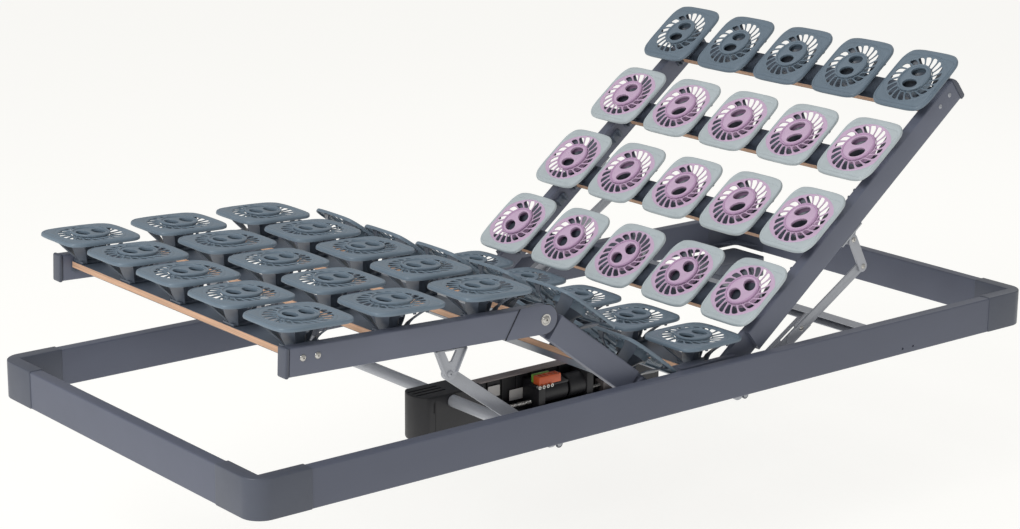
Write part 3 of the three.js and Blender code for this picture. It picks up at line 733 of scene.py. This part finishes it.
def add_spring_rows():
    half_slat = 30
    holders = {(side, half): holder_mesh(f"slat_holder_{word}_{half}", side, half)
               for word, side in SIDES for half in (26, 36)}
    plates = {"plate_plastic": plate_mesh("plate_grey", "plate_plastic"),
              "touch_plastic": plate_mesh("plate_touch", "touch_plastic", "touch_border")}
    dials = {"plate_plastic": dial_mesh("dial_grey", "plate_plastic", "plate_plastic"),
             "touch_plastic": dial_mesh("dial_touch", "touch_plastic", "touch_wall_painted_shade")}
    module = module_mesh("spring_module", half_slat)
    reach = 377
    slat = mesh_of("slat", block((-half_slat, half_slat), (-reach, reach), (0.6, 12.4), 0.5, 1), "slat_wood")
    foil_sheet = block((-half_slat, half_slat), (-reach, reach), (12.4, 13.0), 0.25, 1)
    foil = mesh_of("slat_foil", foil_sheet, "slat_foil")
    rows = [("seat", "seat", "plate_plastic", 0, 0)]
    rows += [("thigh", f"thigh_{i}", "plate_plastic", 0, 0) for i in (1, 2)]
    rows += [("calf", f"calf_{i}", "plate_plastic", 0, 0) for i in (1, 2, 3)]
    rows += [("back", "back_1", "touch_plastic", -30, -30), ("back", "back_2", "touch_plastic", 27, 0),
             ("back", "back_3", "touch_plastic", 27, 0), ("back", "back_4", "plate_plastic", 0, 0)]
    for section, row, finish, dial_turn, far_dial_turn in rows:
        node = f"spring_row_{row}"
        low, high = local_box(node, section)
        x = (low.x + high.x) / 2
        pitch = (high.y - PLATE_HALF_WIDTH) / 2
        place(f"slat_{row}", slat, section, "slat_wood", (x, 0, 0), replaces=(node,))
        place(f"slat_foil_top_{row}", foil, section, "frame_foil", (x, 0, 0))
        place(f"slat_foil_under_{row}", foil, section, "frame_foil", (x, 0, -12.4))
        for word, side in SIDES:
            place(f"slat_holder_{row}_{word}", holders[side, 36 if section == "back" else 26], section,
                  "module_plastic", (x, 0, 0))
        for i in range(5):
            at = (x, (i - 2) * pitch, 0)
            place(f"plate_{row}_{i + 1}", plates[finish], section, finish, at)
            turn = far_dial_turn if i == 4 else dial_turn
            place(f"dial_{row}_{i + 1}", dials[finish], section, finish, (at[0], at[1], DIAL_LIFT), turn)
            place(f"spring_module_{row}_{i + 1}", module, section, "module_plastic", at)


# ---- outer frame --------------------------------------------------------------------------------
def add_outer_frame():
    side_end = HALF_LENGTH - CAP_RADIUS - 2
    for word, side in SIDES:
        profile = rounded(*across(side, FRAME_INNER_Y, HALF_WIDTH), 0, FRAME_HEIGHT, 3.2)
        name = f"side_rail_{word}"
        rail = prism("yz", [profile], -side_end, side_end)
        hole_span = across(side, HALF_WIDTH - 3, HALF_WIDTH + 2)
        holes = [rod("y", (x, 12.5), 2.6, *hole_span, 0.1, 16) for x in RAIL_HOLES_X]
        add(f"{name}_foil", cut(rail, *holes), "base", "frame_foil", replaces=(name,))
    end_reach = HALF_WIDTH - CAP_RADIUS - 2
    for word, end in ENDS:
        name = f"end_rail_{word}"
        profile = rounded(*across(end, FRAME_INNER_X, HALF_LENGTH), 0, FRAME_HEIGHT, 3.2)
        rail = prism("xz", [profile], -end_reach, end_reach)
        add(f"{name}_foil", rail, "base", "frame_foil", replaces=(name,))
        for side_word, side in SIDES:
            add_corner_cap(f"corner_cap_{word}_{side_word}", end, side)


def add_corner_cap(name, end, side):
    """A moulded corner that grips both rails, with a slotted shelf across its inner corner."""
    outer_x, outer_y = HALF_LENGTH + CAP_SKIN, HALF_WIDTH + CAP_SKIN
    inner_x, inner_y = FRAME_INNER_X - CAP_SKIN, FRAME_INNER_Y - CAP_SKIN
    leg_x, leg_y = HALF_LENGTH - CAP_LEG, HALF_WIDTH - CAP_LEG
    r = CAP_RADIUS
    outline = ([(leg_x, inner_y), (inner_x, inner_y), (inner_x, leg_y), (outer_x, leg_y)]
               + arc(outer_x - r, outer_y - r, r, 0, 90, 16) + [(leg_x, outer_y)])
    body = prism("xy", [outline], 0, FRAME_HEIGHT + CAP_SKIN, 2.2, 3)
    top = FRAME_HEIGHT + 0.3
    pocket_x = block((leg_x - 5, HALF_LENGTH - r - 1), (FRAME_INNER_Y - 0.3, HALF_WIDTH + 0.3), (-5, top), 0)
    pocket_y = block((FRAME_INNER_X - 0.3, HALF_LENGTH + 0.3), (leg_y - 5, HALF_WIDTH - r - 1), (-5, top), 0)
    reach = 78
    curve = []
    for i in range(11):
        t = i / 10
        bow = 18 * 2 * t * (1 - t)
        curve.append((inner_x - reach * (1 - t) ** 2 - bow, inner_y - bow - reach * t * t))
    shelf_outline = [(inner_x + 1, inner_y + 1), (inner_x - reach, inner_y + 1)]
    shelf_outline += curve + [(inner_x + 1, inner_y - reach)]
    slots = [rounded(inner_x - inset, inner_x - inset + 5, inner_y - 24, inner_y - 8, 2, 4)
             for inset in (36, 26)]
    shelf = prism("xy", [shelf_outline, *slots], 10, 14, 0.8)
    solid = combined(cut(body, pocket_x, pocket_y), shelf)
    bmesh.ops.scale(solid, vec=(end, side, 1), verts=solid.verts)
    add(f"{name}_moulding", solid, "base", "cap_plastic", replaces=(name,))


def add_cross_member():
    """A C-section steel bar across the head end, open towards the foot."""
    reach = FRAME_INNER_Y - 0.3
    profile = [(655, 10), (655, 8), (687, 8), (687, -6), (655, -6), (655, -8), (689, -8), (689, 10)]
    bar = prism("xz", [profile], -reach, reach, 0.5, 1)
    add("cross_member_section", bar, "base", "grey_steel", replaces=("cross_member",))
    for word, side in SIDES:
        lug = prism("xz", [rounded(648, 696, 4, 34, 5)], *across(side, reach - 3.2, reach - 0.1), 0.5, 1)
        add(f"cross_member_lug_{word}", lug, "base", "grey_steel")
        for x in (658, 686):
            screw = domed_screw("y", (x, 24), side * (reach - 3.2), -side, 5)
            add(f"cross_member_screw_{word}_{x}", screw, "base", "bolt_steel")


def add_tube_brackets():
    """Bearing plates that stand off the side rails on a channel and carry the arms' journals."""
    for tube, x in (("leg", LEG_TUBE_X), ("back", BACK_TUBE_X)):
        for word, side in SIDES:
            outline = [(x + 20, 14), (x + 20, 50), (x - 20, 50), (x - 20, 14)]
            outline += arc(x, TUBE_Z, 8, 180, 360, 14)
            plate = prism("xz", [outline, circle(x, TUBE_Z, 5.5, 32)], *across(side, 406.5, 409.5), 0.5)
            wall = across(side, 420.7, FRAME_INNER_Y - 0.3)
            channel = [block((x - 20, x + 20), across(side, 408.5, FRAME_INNER_Y - 0.3), (z, z + 3), 0.5)
                       for z in (22, 47)]
            back = block((x - 20, x + 20), wall, (22, 50), 0.5)
            name = f"tube_bracket_{tube}_{word}"
            # Painted shade: the steel bracket takes the dark cap plastic, so it passes for shadow beside the
            # rail.
            add(f"{name}_plate", combined(plate, back, *channel), "base", "grey_steel",
                finish="cap_plastic", replaces=(name,))
            for dx in (-10, 10):
                screw = domed_screw("y", (x + dx, 36), side * 420.7, -side, 5)
                add(f"{name}_screw_{'foot' if dx < 0 else 'head'}", screw, "base", "bolt_steel")


# ---- section rails -----------------------------------------------------------------------------
def rail_solid(side, full, laps, extra=()):
    """A rail of rounded section. Each lapped eye is given as (pivot, shoulder, half)."""
    y0, y1 = across(side, RAIL_INNER, RAIL_OUTER)
    body = prism("yz", [rounded(y0, y1, -RAIL_HALF, RAIL_HALF, 3, 4)], *full)
    solids = []
    for pivot, shoulder, half in laps:
        if half == "outer":
            span = across(side, LAP_SPLIT + 0.3, RAIL_OUTER)
        else:
            span = across(side, RAIL_INNER, LAP_SPLIT - 0.3)
        way = 1 if shoulder < pivot else -1
        facing = 0 if way > 0 else 180
        inside = shoulder - 2 * way
        eye = arc(pivot, 0, RAIL_HALF, facing - 90, facing + 90, 20)
        eye += [(inside, way * RAIL_HALF), (inside, -way * RAIL_HALF)]
        solids.append(prism("xz", [eye], *span, 1.5))
    return joined(body, *solids, *extra)


def add_pivot_bolts(section, prefix, side, word, face):
    """A hinge bolt: shank through both halves, washer and domed head outside, nut inside."""
    name = f"{prefix}_bolt_{word}"
    shank = rod("y", (0, 0), 5, *across(side, RAIL_INNER - 2, face + 1))
    seat_y, top_y = side * (face + 0.2), side * (face + 1.5)
    washer = turned("y", (0, 0), [(5.2, seat_y), (11, seat_y), (11, top_y), (5.2, top_y)], 36)
    head = domed_screw("y", (0, 0), side * (face + 1.2), side, 8.5)
    nut = prism("xz", [arc(0, 0, 8, 0, 360, 6)[:-1]], *across(side, RAIL_INNER - 5, RAIL_INNER - 0.3), 0.6, 1)
    add(f"{name}_set", combined(shank, washer, head, nut), section, "bolt_steel", replaces=(name,))


def add_seat():
    step_x, step_top = 20, 2
    for word, side in SIDES:
        thigh_x = THIGH_PIVOT.x / MM
        back_x = BACK_PIVOT.x / MM
        outer = across(side, LAP_SPLIT + 0.3, RAIL_OUTER)
        shoulder = thigh_x + LEG_LAP
        low_eye = arc(thigh_x, 0, RAIL_HALF, 90, 270, 18)
        low_eye += [(shoulder, -RAIL_HALF), (shoulder, step_top), (thigh_x, step_top)]
        low_end = prism("xz", [low_eye], *outer, 1.2)
        low_outline = [(shoulder - 2, -RAIL_HALF), (step_x + 2, -RAIL_HALF), (step_x + 2, step_top),
                       (shoulder - 2, step_top)]
        low_bar = prism("xz", [low_outline], *across(side, RAIL_INNER, RAIL_OUTER), 1.2)
        spacer_span = across(side, RAIL_OUTER - 1, FRAME_INNER_Y - 0.3)
        spacer = prism("xz", [rounded(-30, 75, -24, 0, 3)], *spacer_span, 0.8)
        rail = rail_solid(side, (step_x, back_x - BACK_LAP), [(back_x, back_x - BACK_LAP, "outer")],
                          (low_end, low_bar, spacer))
        add(f"seat_rail_{word}_foil", rail, "seat", "frame_foil", finish="section_foil_painted_light",
            replaces=(f"seat_rail_{word}",))


def add_thigh():
    for word, side in SIDES:
        rail = rail_solid(side, (LEG_LAP - THIGH_LENGTH, -LEG_LAP),
                          [(0, -LEG_LAP, "inner"), (-THIGH_LENGTH, LEG_LAP - THIGH_LENGTH, "inner")])
        add(f"thigh_rail_{word}_foil", rail, "thigh", "frame_foil", finish="section_foil_painted_light",
            replaces=(f"thigh_rail_{word}",))
        add_pivot_bolts("thigh", "thigh", side, word, RAIL_OUTER)


def add_calf():
    end = local_box("calf_rail_left", "calf")[0].x
    knuckle = RAIL_HALF + 2
    for word, side in SIDES:
        rail = rail_solid(side, (end, -LEG_LAP), [(0, -LEG_LAP, "outer")])
        add(f"calf_rail_{word}_foil", rail, "calf", "frame_foil", finish="section_foil_painted_light",
            replaces=(f"calf_rail_{word}",))
        outline = [(-60, knuckle), (-92, -knuckle)] + arc(0, 0, knuckle, -90, 90, 24)
        cover = prism("xz", [outline], *across(side, RAIL_OUTER + 0.3, RAIL_OUTER + 2.4), 0.8)
        add(f"knee_cover_{word}", cover, "calf", "frame_foil", finish="section_foil_painted_light")
        # Near-black strips along the cover's straight edge and round its arc: painted shade beside the cover's
        # step and in the groove round the knuckle.
        edge_shade_outline = [(-61.6, knuckle), (-93.8, -knuckle), (-91, -knuckle), (-59, knuckle)]
        add(f"knee_edge_painted_shade_{word}", prism("xz", [edge_shade_outline], *across(side, RAIL_OUTER - 0.2, RAIL_OUTER + 0.9), 0.2, 1),
            "calf", "drive_plastic")
        rim = prism("xz", [arc(0, 0, knuckle + 1.3, -90, 88, 24) + arc(0, 0, knuckle - 0.4, 88, -90, 24)],
                    *across(side, RAIL_OUTER - 0.2, RAIL_OUTER + 1.2), 0.2, 1)
        add(f"knee_arc_painted_shade_{word}", rim, "calf", "drive_plastic")
        add_pivot_bolts("calf", "knee", side, word, RAIL_OUTER + 2.2)
        add_calf_cap(word, side, end)
        for x in (-539, -508):
            screw = domed_screw("y", (x, 6), side * RAIL_OUTER, side, 6.5)
            add(f"calf_screw_{word}_{'outer' if x < -520 else 'inner'}", screw, "calf", "bolt_steel")
        add_v_bracket(word, side)


def add_calf_cap(word, side, end):
    """The moulded cap on a calf rail's foot end."""
    outline = rounded(end - 9, end - 0.3, -RAIL_HALF - 2, RAIL_HALF + 1.5, 4)
    cap = prism("xz", [outline], *across(side, RAIL_INNER - 0.8, RAIL_OUTER + 0.8), 3, 4)
    add(f"calf_end_cap_{word}_moulding", cap, "calf", "module_plastic", finish="cap_plastic",
        replaces=(f"calf_end_cap_{word}",))


def add_v_bracket(word, side):
    """A V of sheet steel under the calf rail with a triangular window and edges folded outwards."""
    x, z = V_POINT
    top = -RAIL_HALF - 0.3
    outline = [(x - 37, top), (x - 13, z - 4)] + arc(x, z, 13.6, 197, 343, 12)
    outline += [(x + 13, z - 4), (x + 37, top)]
    window = [(x - 14, top - 6), (x + 14, top - 6), (x + 3, z + 22), (x - 3, z + 22)]
    web = prism("xz", [outline, window, circle(x, z, 5.6, 24)], *across(side, 389.8, 394.8), 0.6)
    flange = block((x - 37, x + 37), across(side, 381, 394.8), (top - 4, top), 0.6)
    folds = [prism("xz", [bar_outline((x + 34 * way, top - 4), (x + 14 * way, z + 2), 1.2)],
                   *across(side, 392, 399), 0.3, 1) for way in (-1, 1)]
    name = f"v_bracket_{word}"
    add(f"{name}_sheet", combined(web, flange, *folds), "calf", "grey_steel", replaces=(name,))


def add_back():
    end = local_box("back_rail_left", "back")[1].x
    for word, side in SIDES:
        rail = rail_solid(side, (BACK_LAP, end), [(0, BACK_LAP, "inner")])
        add(f"back_rail_{word}_foil", rail, "back", "frame_foil", finish="section_foil_painted_light",
            replaces=(f"back_rail_{word}",))
        add_pivot_bolts("back", "back", side, word, RAIL_OUTER)
        low, high = local_box(f"back_end_cap_{word}", "back")
        outline = [(low.x, low.z), (high.x - 3, low.z), (high.x, low.z + 4), (high.x, high.z - 22),
                   (high.x - 2, high.z - 12), (high.x - 7, high.z - 3), (high.x - 10, high.z - 1),
                   (low.x, high.z)]
        cap = prism("xz", [outline], *across(side, RAIL_INNER - 2, RAIL_OUTER + 2), 1.5, 3)
        add(f"back_end_cap_{word}_moulding", cap, "back", "cap_plastic", replaces=(f"back_end_cap_{word}",))
        for x in (end - 22, end - 56):
            screw = domed_screw("y", (x, 6), side * RAIL_OUTER, side, 5)
            add(f"back_screw_{word}_{'top' if x > end - 30 else 'low'}", screw, "back", "bolt_steel",
                finish="grey_steel")
        add_link_ear(word, side)
        add_spare_holders(word, side)


def add_link_ear(word, side):
    x, z = LINK_EAR
    top = -RAIL_HALF - 0.3
    outline = [(x - 32, top), (x - 11, z - 3)] + arc(x, z, 11.4, 195, 345, 12)
    outline += [(x + 11, z - 3), (x + 32, top)]
    web = prism("xz", [outline, circle(x, z, 5.5, 24)], *across(side, 387, 393), 0.6)
    flange = block((x - 34, x + 34), across(side, 381, 404), (top - 4, top), 0.6)
    add(f"link_ear_{word}_sheet", combined(web, flange), "back", "grey_steel", replaces=(f"link_ear_{word}",))


def add_spare_holders(word, side):
    """Empty slat holders between the rows, for moving a slat."""
    for i, x in enumerate((468, 264)):
        foot = prism("xz", [rounded(x - 20, x + 20, -9, 9, 5)], *across(side, 375, 379.7), 0.8)
        arms = [block((x - inset, x - inset + 6), across(side, 364, 376), (-5, 13), 1.5)
                for inset in (13, -7)]
        add(f"spare_holder_{word}_{i + 1}", combined(foot, *arms), "back", "module_plastic")


# ---- linkage ------------------------------------------------------------------------------------
def torque_tube(x, reach):
    """A steel tube between its two arms, with its drive lever and weld collars beside it."""
    profile = [(0, -reach), (TUBE_RADIUS, -reach), (TUBE_RADIUS, reach), (0, reach)]
    tube = turned("y", (x, TUBE_Z), profile, 48)
    lever_y = (DRIVE_AXIS_Y - 9, DRIVE_AXIS_Y + 9)
    lever = block((x - 5, x + 5), lever_y, (TUBE_Z - LEVER_LENGTH, TUBE_Z - TUBE_RADIUS + 1), 1)
    collars = [rod("y", (x, TUBE_Z), TUBE_RADIUS + 1.6, side * (reach - 4), side * reach, 1.4)
               for _, side in SIDES]
    return combined(tube, lever, *collars)


def journal(x, side, face):
    """The stub that turns in a side bracket, standing out of an arm's face."""
    return rod("y", (x, TUBE_Z), 5, *across(side, face - 1, JOURNAL_END))


def towards(start, end, distance):
    """A point on the way from start to end."""
    length = math.hypot(end[0] - start[0], end[1] - start[1])
    return tuple(s + (e - s) * distance / length for s, e in zip(start, end))


def add_leg_linkage():
    start = (LEG_TUBE_X, TUBE_Z)
    add("leg_torque_tube_steel", torque_tube(LEG_TUBE_X, 382.7), "base", "grey_steel", body="leg_crank",
        replaces=("leg_torque_tube",))
    for word, side in SIDES:
        bar = prism("xz", [bar_outline(start, LEG_ARM_END, 12.5)], *across(side, 383, 389), 0.8)
        pin = rod("y", LEG_ARM_END, 4.2, *across(side, 388, 396))
        head = domed_screw("y", LEG_ARM_END, side * 395.3, side, 6.5)
        name = f"leg_arm_{word}"
        arm = combined(bar, journal(LEG_TUBE_X, side, 389), pin)
        add(f"{name}_bar", arm, "base", "grey_steel", body="leg_crank", replaces=(name,))
        add(f"{name}_pin", head, "base", "grey_steel", body="leg_crank")


def add_back_linkage():
    start = (BACK_TUBE_X, TUBE_Z)
    length = math.hypot(BACK_ARM_END[0] - start[0], BACK_ARM_END[1] - start[1])
    add("back_torque_tube_steel", torque_tube(BACK_TUBE_X, 383.7), "base", "grey_steel", body="back_crank",
        replaces=("back_torque_tube",))
    for word, side in SIDES:
        channel = channel_outline(start, towards(start, BACK_ARM_END, 0.58 * length), 16, 0.36 * length)
        lower = prism("xz", [channel], *across(side, 384, 390), 0.8)
        lip_span = across(side, 376, 386)
        lips = []
        for offset in (-14.6, 14.6):
            ends = (shifted(start, BACK_ARM_END, distance, offset) for distance in (30, 0.54 * length))
            lips.append(prism("xz", [bar_outline(*ends, 1.2)], *lip_span, 0.3, 1))
        upper = prism("xz", [bar_outline(towards(start, BACK_ARM_END, 0.42 * length), BACK_ARM_END, 11.5),
                             circle(*BACK_ARM_END, 5.6, 24)], *across(side, 389.2, 393), 0.7)
        name = f"back_arm_{word}"
        arm = combined(lower, *lips, upper, journal(BACK_TUBE_X, side, 390))
        add(f"{name}_bars", arm, "base", "grey_steel", body="back_crank", replaces=(name,))
        bolt = domed_screw("y", towards(start, BACK_ARM_END, 0.5 * length), side * 393, side, 5.5)
        add(f"{name}_bolt", bolt, "base", "bolt_steel", body="back_crank")
        link = prism("xz", [bar_outline(BACK_ARM_END, BACK_LINK_TOP, 11.5)], *across(side, 393.6, 398.6), 0.9)
        low_pin = rod("y", BACK_ARM_END, 4.2, *across(side, 388.5, 395))
        top_pin = rod("y", BACK_LINK_TOP, 5, *across(side, 386.5, 395))
        add(f"back_link_{word}_bar", combined(link, low_pin, top_pin), "base", "grey_steel", body="back_link",
            replaces=(f"back_link_{word}",))
        for end_word, at in (("low", BACK_ARM_END), ("top", BACK_LINK_TOP)):
            add(f"back_link_{word}_rivet_{end_word}", domed_screw("y", at, side * 398.6, side, 6), "base",
                "bolt_steel", body="back_link")


def shifted(start, end, distance, offset):
    """A point some way from start towards end, moved to the line's left."""
    x, z = towards(start, end, distance)
    length = math.hypot(end[0] - start[0], end[1] - start[1])
    return (x - (end[1] - start[1]) / length * offset, z + (end[0] - start[0]) / length * offset)


def channel_outline(start, end, half, notch_at):
    """A bar with a round foot, a squared top end and a rectangular notch in its upper edge."""
    length = math.hypot(end[0] - start[0], end[1] - start[1])
    turn = math.degrees(math.atan2(end[1] - start[1], end[0] - start[0]))
    notch_depth, notch_length = 7, 46
    points = [(length - 6, -half), (length, -half + 6), (length, half - 4), (length - 4, half),
              (notch_at + notch_length, half), (notch_at + notch_length, half - notch_depth),
              (notch_at, half - notch_depth), (notch_at, half)]
    return [shifted(start, end, d, o) for d, o in points] + arc(*start, half, turn + 90, turn + 270, 14)


# ---- drive ---------------------------------------------------------------------------------------
def drive_tray():
    """The tray between the drive's ends, with its ribbed floor and upright walls."""
    y0, y1 = DRIVE_Y
    z0 = DRIVE_FLOOR_Z
    x0, x1 = -211.7, 151
    profile = [(y0, z0 + 16), (y0, z0 + 3), (y0 + 3, z0), (y1 - 3, z0), (y1, z0 + 3), (y1, -18), (y1 - 8, -18),
               (y1 - 8, z0 + 8), (y0 + 8, z0 + 8), (y0 + 8, z0 + 16)]
    tray = prism("yz", [profile], x0, x1, 0.6, 1)
    ribs = [block((x, x + 3), (y1 - 12, y1 - 7), (z0 + 8, -20), 0.4, 1) for x in range(-190, 150, 38)]
    return combined(tray, *ribs)


def add_drive():
    y0, y1 = DRIVE_Y
    z0 = DRIVE_FLOOR_Z
    head = drive_block((150, 262), 0, 1)
    tray = combined(drive_tray(), head)
    add("drive_housing_tray", tray, "base", "drive_plastic", replaces=("drive_housing",))
    flange = prism("yz", [rounded(y1 - 24, y1 + 2, -18.2, -14.6, 1.6, 3)], -211.7, 149.5)
    add("drive_flange_strip", flange, "base", "drive_flange")
    foot = drive_block((-352, -212), 15, -1)
    add("drive_end_foot_shell", foot, "base", "drive_plastic", replaces=("drive_end_foot",))
    for label, x0, x1, za, zb in (("small", -151, -120, -56, -33), ("large", -95, -58, -74, -51)):
        plate = prism("xz", [rounded(x0, x1, za, zb, 1.5, 3)], y1 - 13, y1 - 12.2, 0.1, 1)
        add(f"drive_label_{label}", plate, "base", "label_white")
    add_motor("leg", (-60, -42), (-43, 22), (-237, -59))
    add_motor("back", (70, 88), (28, 71), (87, 136))
    for name, x0, closed in (("leg_slider", LEG_TUBE_X + 6, -1), ("back_slider", BACK_TUBE_X - 69, 1)):
        nut = block((x0, x0 + 60), (-57, -29), (z0 + 8.6, -65), 1.6)
        bore_x = (x0 + 6, x0 + 62) if closed < 0 else (x0 - 2, x0 + 54)
        bore = rod("x", (DRIVE_AXIS_Y, SPINDLE_Z), 5.6, *bore_x, 0.1)
        add(f"{name}_nut", cut(nut, bore), "base", "bolt_steel", finish="drive_flange", body=name,
            replaces=(name,))
    add_connector()


def drive_block(x_span, bulge, facing):
    """A hollow moulded end of the drive, its outer end bulged, with grooves across its roof."""
    x0, x1 = x_span
    y0, y1 = DRIVE_Y
    z0 = DRIVE_FLOOR_Z
    outline = [(x0, y0), (x1, y0), (x1, y1), (x0, y1)]
    if bulge:
        middle = (y0 + y1) / 2
        outline = [(x1, y0), (x1, y1)]
        for i in range(21):
            t = -1 + 2 * i / 20
            outline.append((x0 - bulge * (1 - abs(t) ** 2.4), middle - t * (y1 - y0) / 2))
    shell = prism("xy", [outline], z0, 0, 3.5, 3)
    cavity_x = (x0 + 8, x1 + 6) if facing < 0 else (x0 - 6, x1 - 8)
    tools = [block(cavity_x, (y0 + 8, y1 - 8), (z0 + 8, -6), 0)]
    tube_x = LEG_TUBE_X if facing < 0 else BACK_TUBE_X
    tools.append(rod("y", (tube_x, TUBE_Z), TUBE_RADIUS + 0.8, y0 - 5, y1 + 5, 0.1))
    if bulge:
        for i in range(3):
            y = y0 + 24 + 14 * i
            tools.append(block((x0 - 10, LEG_TUBE_X), (y, y + 5), (-2.4, 5), 0))
        tools.append(block((x0 + 12, x0 + 15), (y0 - 2, y0 + 1.5), (-34, -12), 0))
        tools.append(block((x0 + 17, x0 + 18), (y0 - 2, y0 + 0.8), (z0 - 2, -8), 0))
    return cut(shell, *tools)


def add_motor(name, case, can, spindle):
    """A can motor, its gear case and a threaded spindle."""
    gear_case = block(case, (-70, -16), (DRIVE_FLOOR_Z + 8.5, -30), 2)
    radius = 25
    body = [(0, can[0]), (radius - 2, can[0]), (radius, can[0] + 2)]
    body += [(radius, can[1] - 2), (radius - 2, can[1]), (0, can[1])]
    motor = turned("x", (DRIVE_AXIS_Y, -58), body, 48)
    add(f"{name}_motor_unit", combined(gear_case, motor), "base", "drive_plastic", replaces=(f"{name}_motor",))
    thread = [(0, spindle[0])]
    for x in range(int(spindle[0]), int(spindle[1]) - 3, 3):
        thread += [(4.2, x + 0.4), (5, x + 1.2), (5, x + 1.8), (4.2, x + 2.6)]
    thread += [(4.2, spindle[1] - 0.2), (0, spindle[1])]
    add(f"{name}_spindle", turned("x", (DRIVE_AXIS_Y, SPINDLE_Z), thread, 28), "base", "bolt_steel")


def add_connector():
    """The plug block on the drive: an orange body, a green strip and round contact ends."""
    x0, x1 = -66, -8
    body = block((x0, x1), (-78, -58), (-32, -14), 1.5)
    slots = [block((x0 + 6 + 13 * i, x0 + 14 + 13 * i), (-74, -62), (-16, -8), 0.5, 1) for i in range(4)]
    add("connector_body", cut(body, *slots), "base", "plug_orange")
    add("connector_strip", block((x0 + 1, x1 - 14), (-57.6, -50), (-30, -13), 1.2), "base", "plug_green")
    add("connector_seat", block((x0 - 4, x1 + 20), (-78, -48), (-37, -32.4), 1.2), "base", "drive_plastic")
    for i in range(4):
        x = x0 - 3 + 11 * i
        contact = turned("y", (x, -34), [(1.8, -84), (3.6, -84), (3.6, -76), (1.8, -76)], 24)
        add(f"connector_contact_{i + 1}", contact, "base", "bolt_steel")


def add_power_supply():
    """The supply box under a head corner: two half shells with a parting line."""
    low, high = (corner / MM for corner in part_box("power_supply"))
    middle = (low.z + high.z) / 2
    outline = rounded(low.x, high.x, low.y, high.y, 8)
    halves = [prism("xy", [outline], *z_span, 2.5, 3)
              for z_span in ((low.z, middle - 0.4), (middle + 0.4, high.z))]
    waist = prism("xy", [rounded(low.x + 1, high.x - 1, low.y + 1, high.y - 1, 7)], middle - 2, middle + 2)
    add("power_supply_case", combined(*halves, waist), "base", "cap_plastic", replaces=("power_supply",))


add_camera()
add_studio()
add_spring_rows()
add_outer_frame()
add_cross_member()
add_tube_brackets()
add_seat()
add_thigh()
add_calf()
add_back()
add_leg_linkage()
add_back_linkage()
add_drive()
add_power_supply()
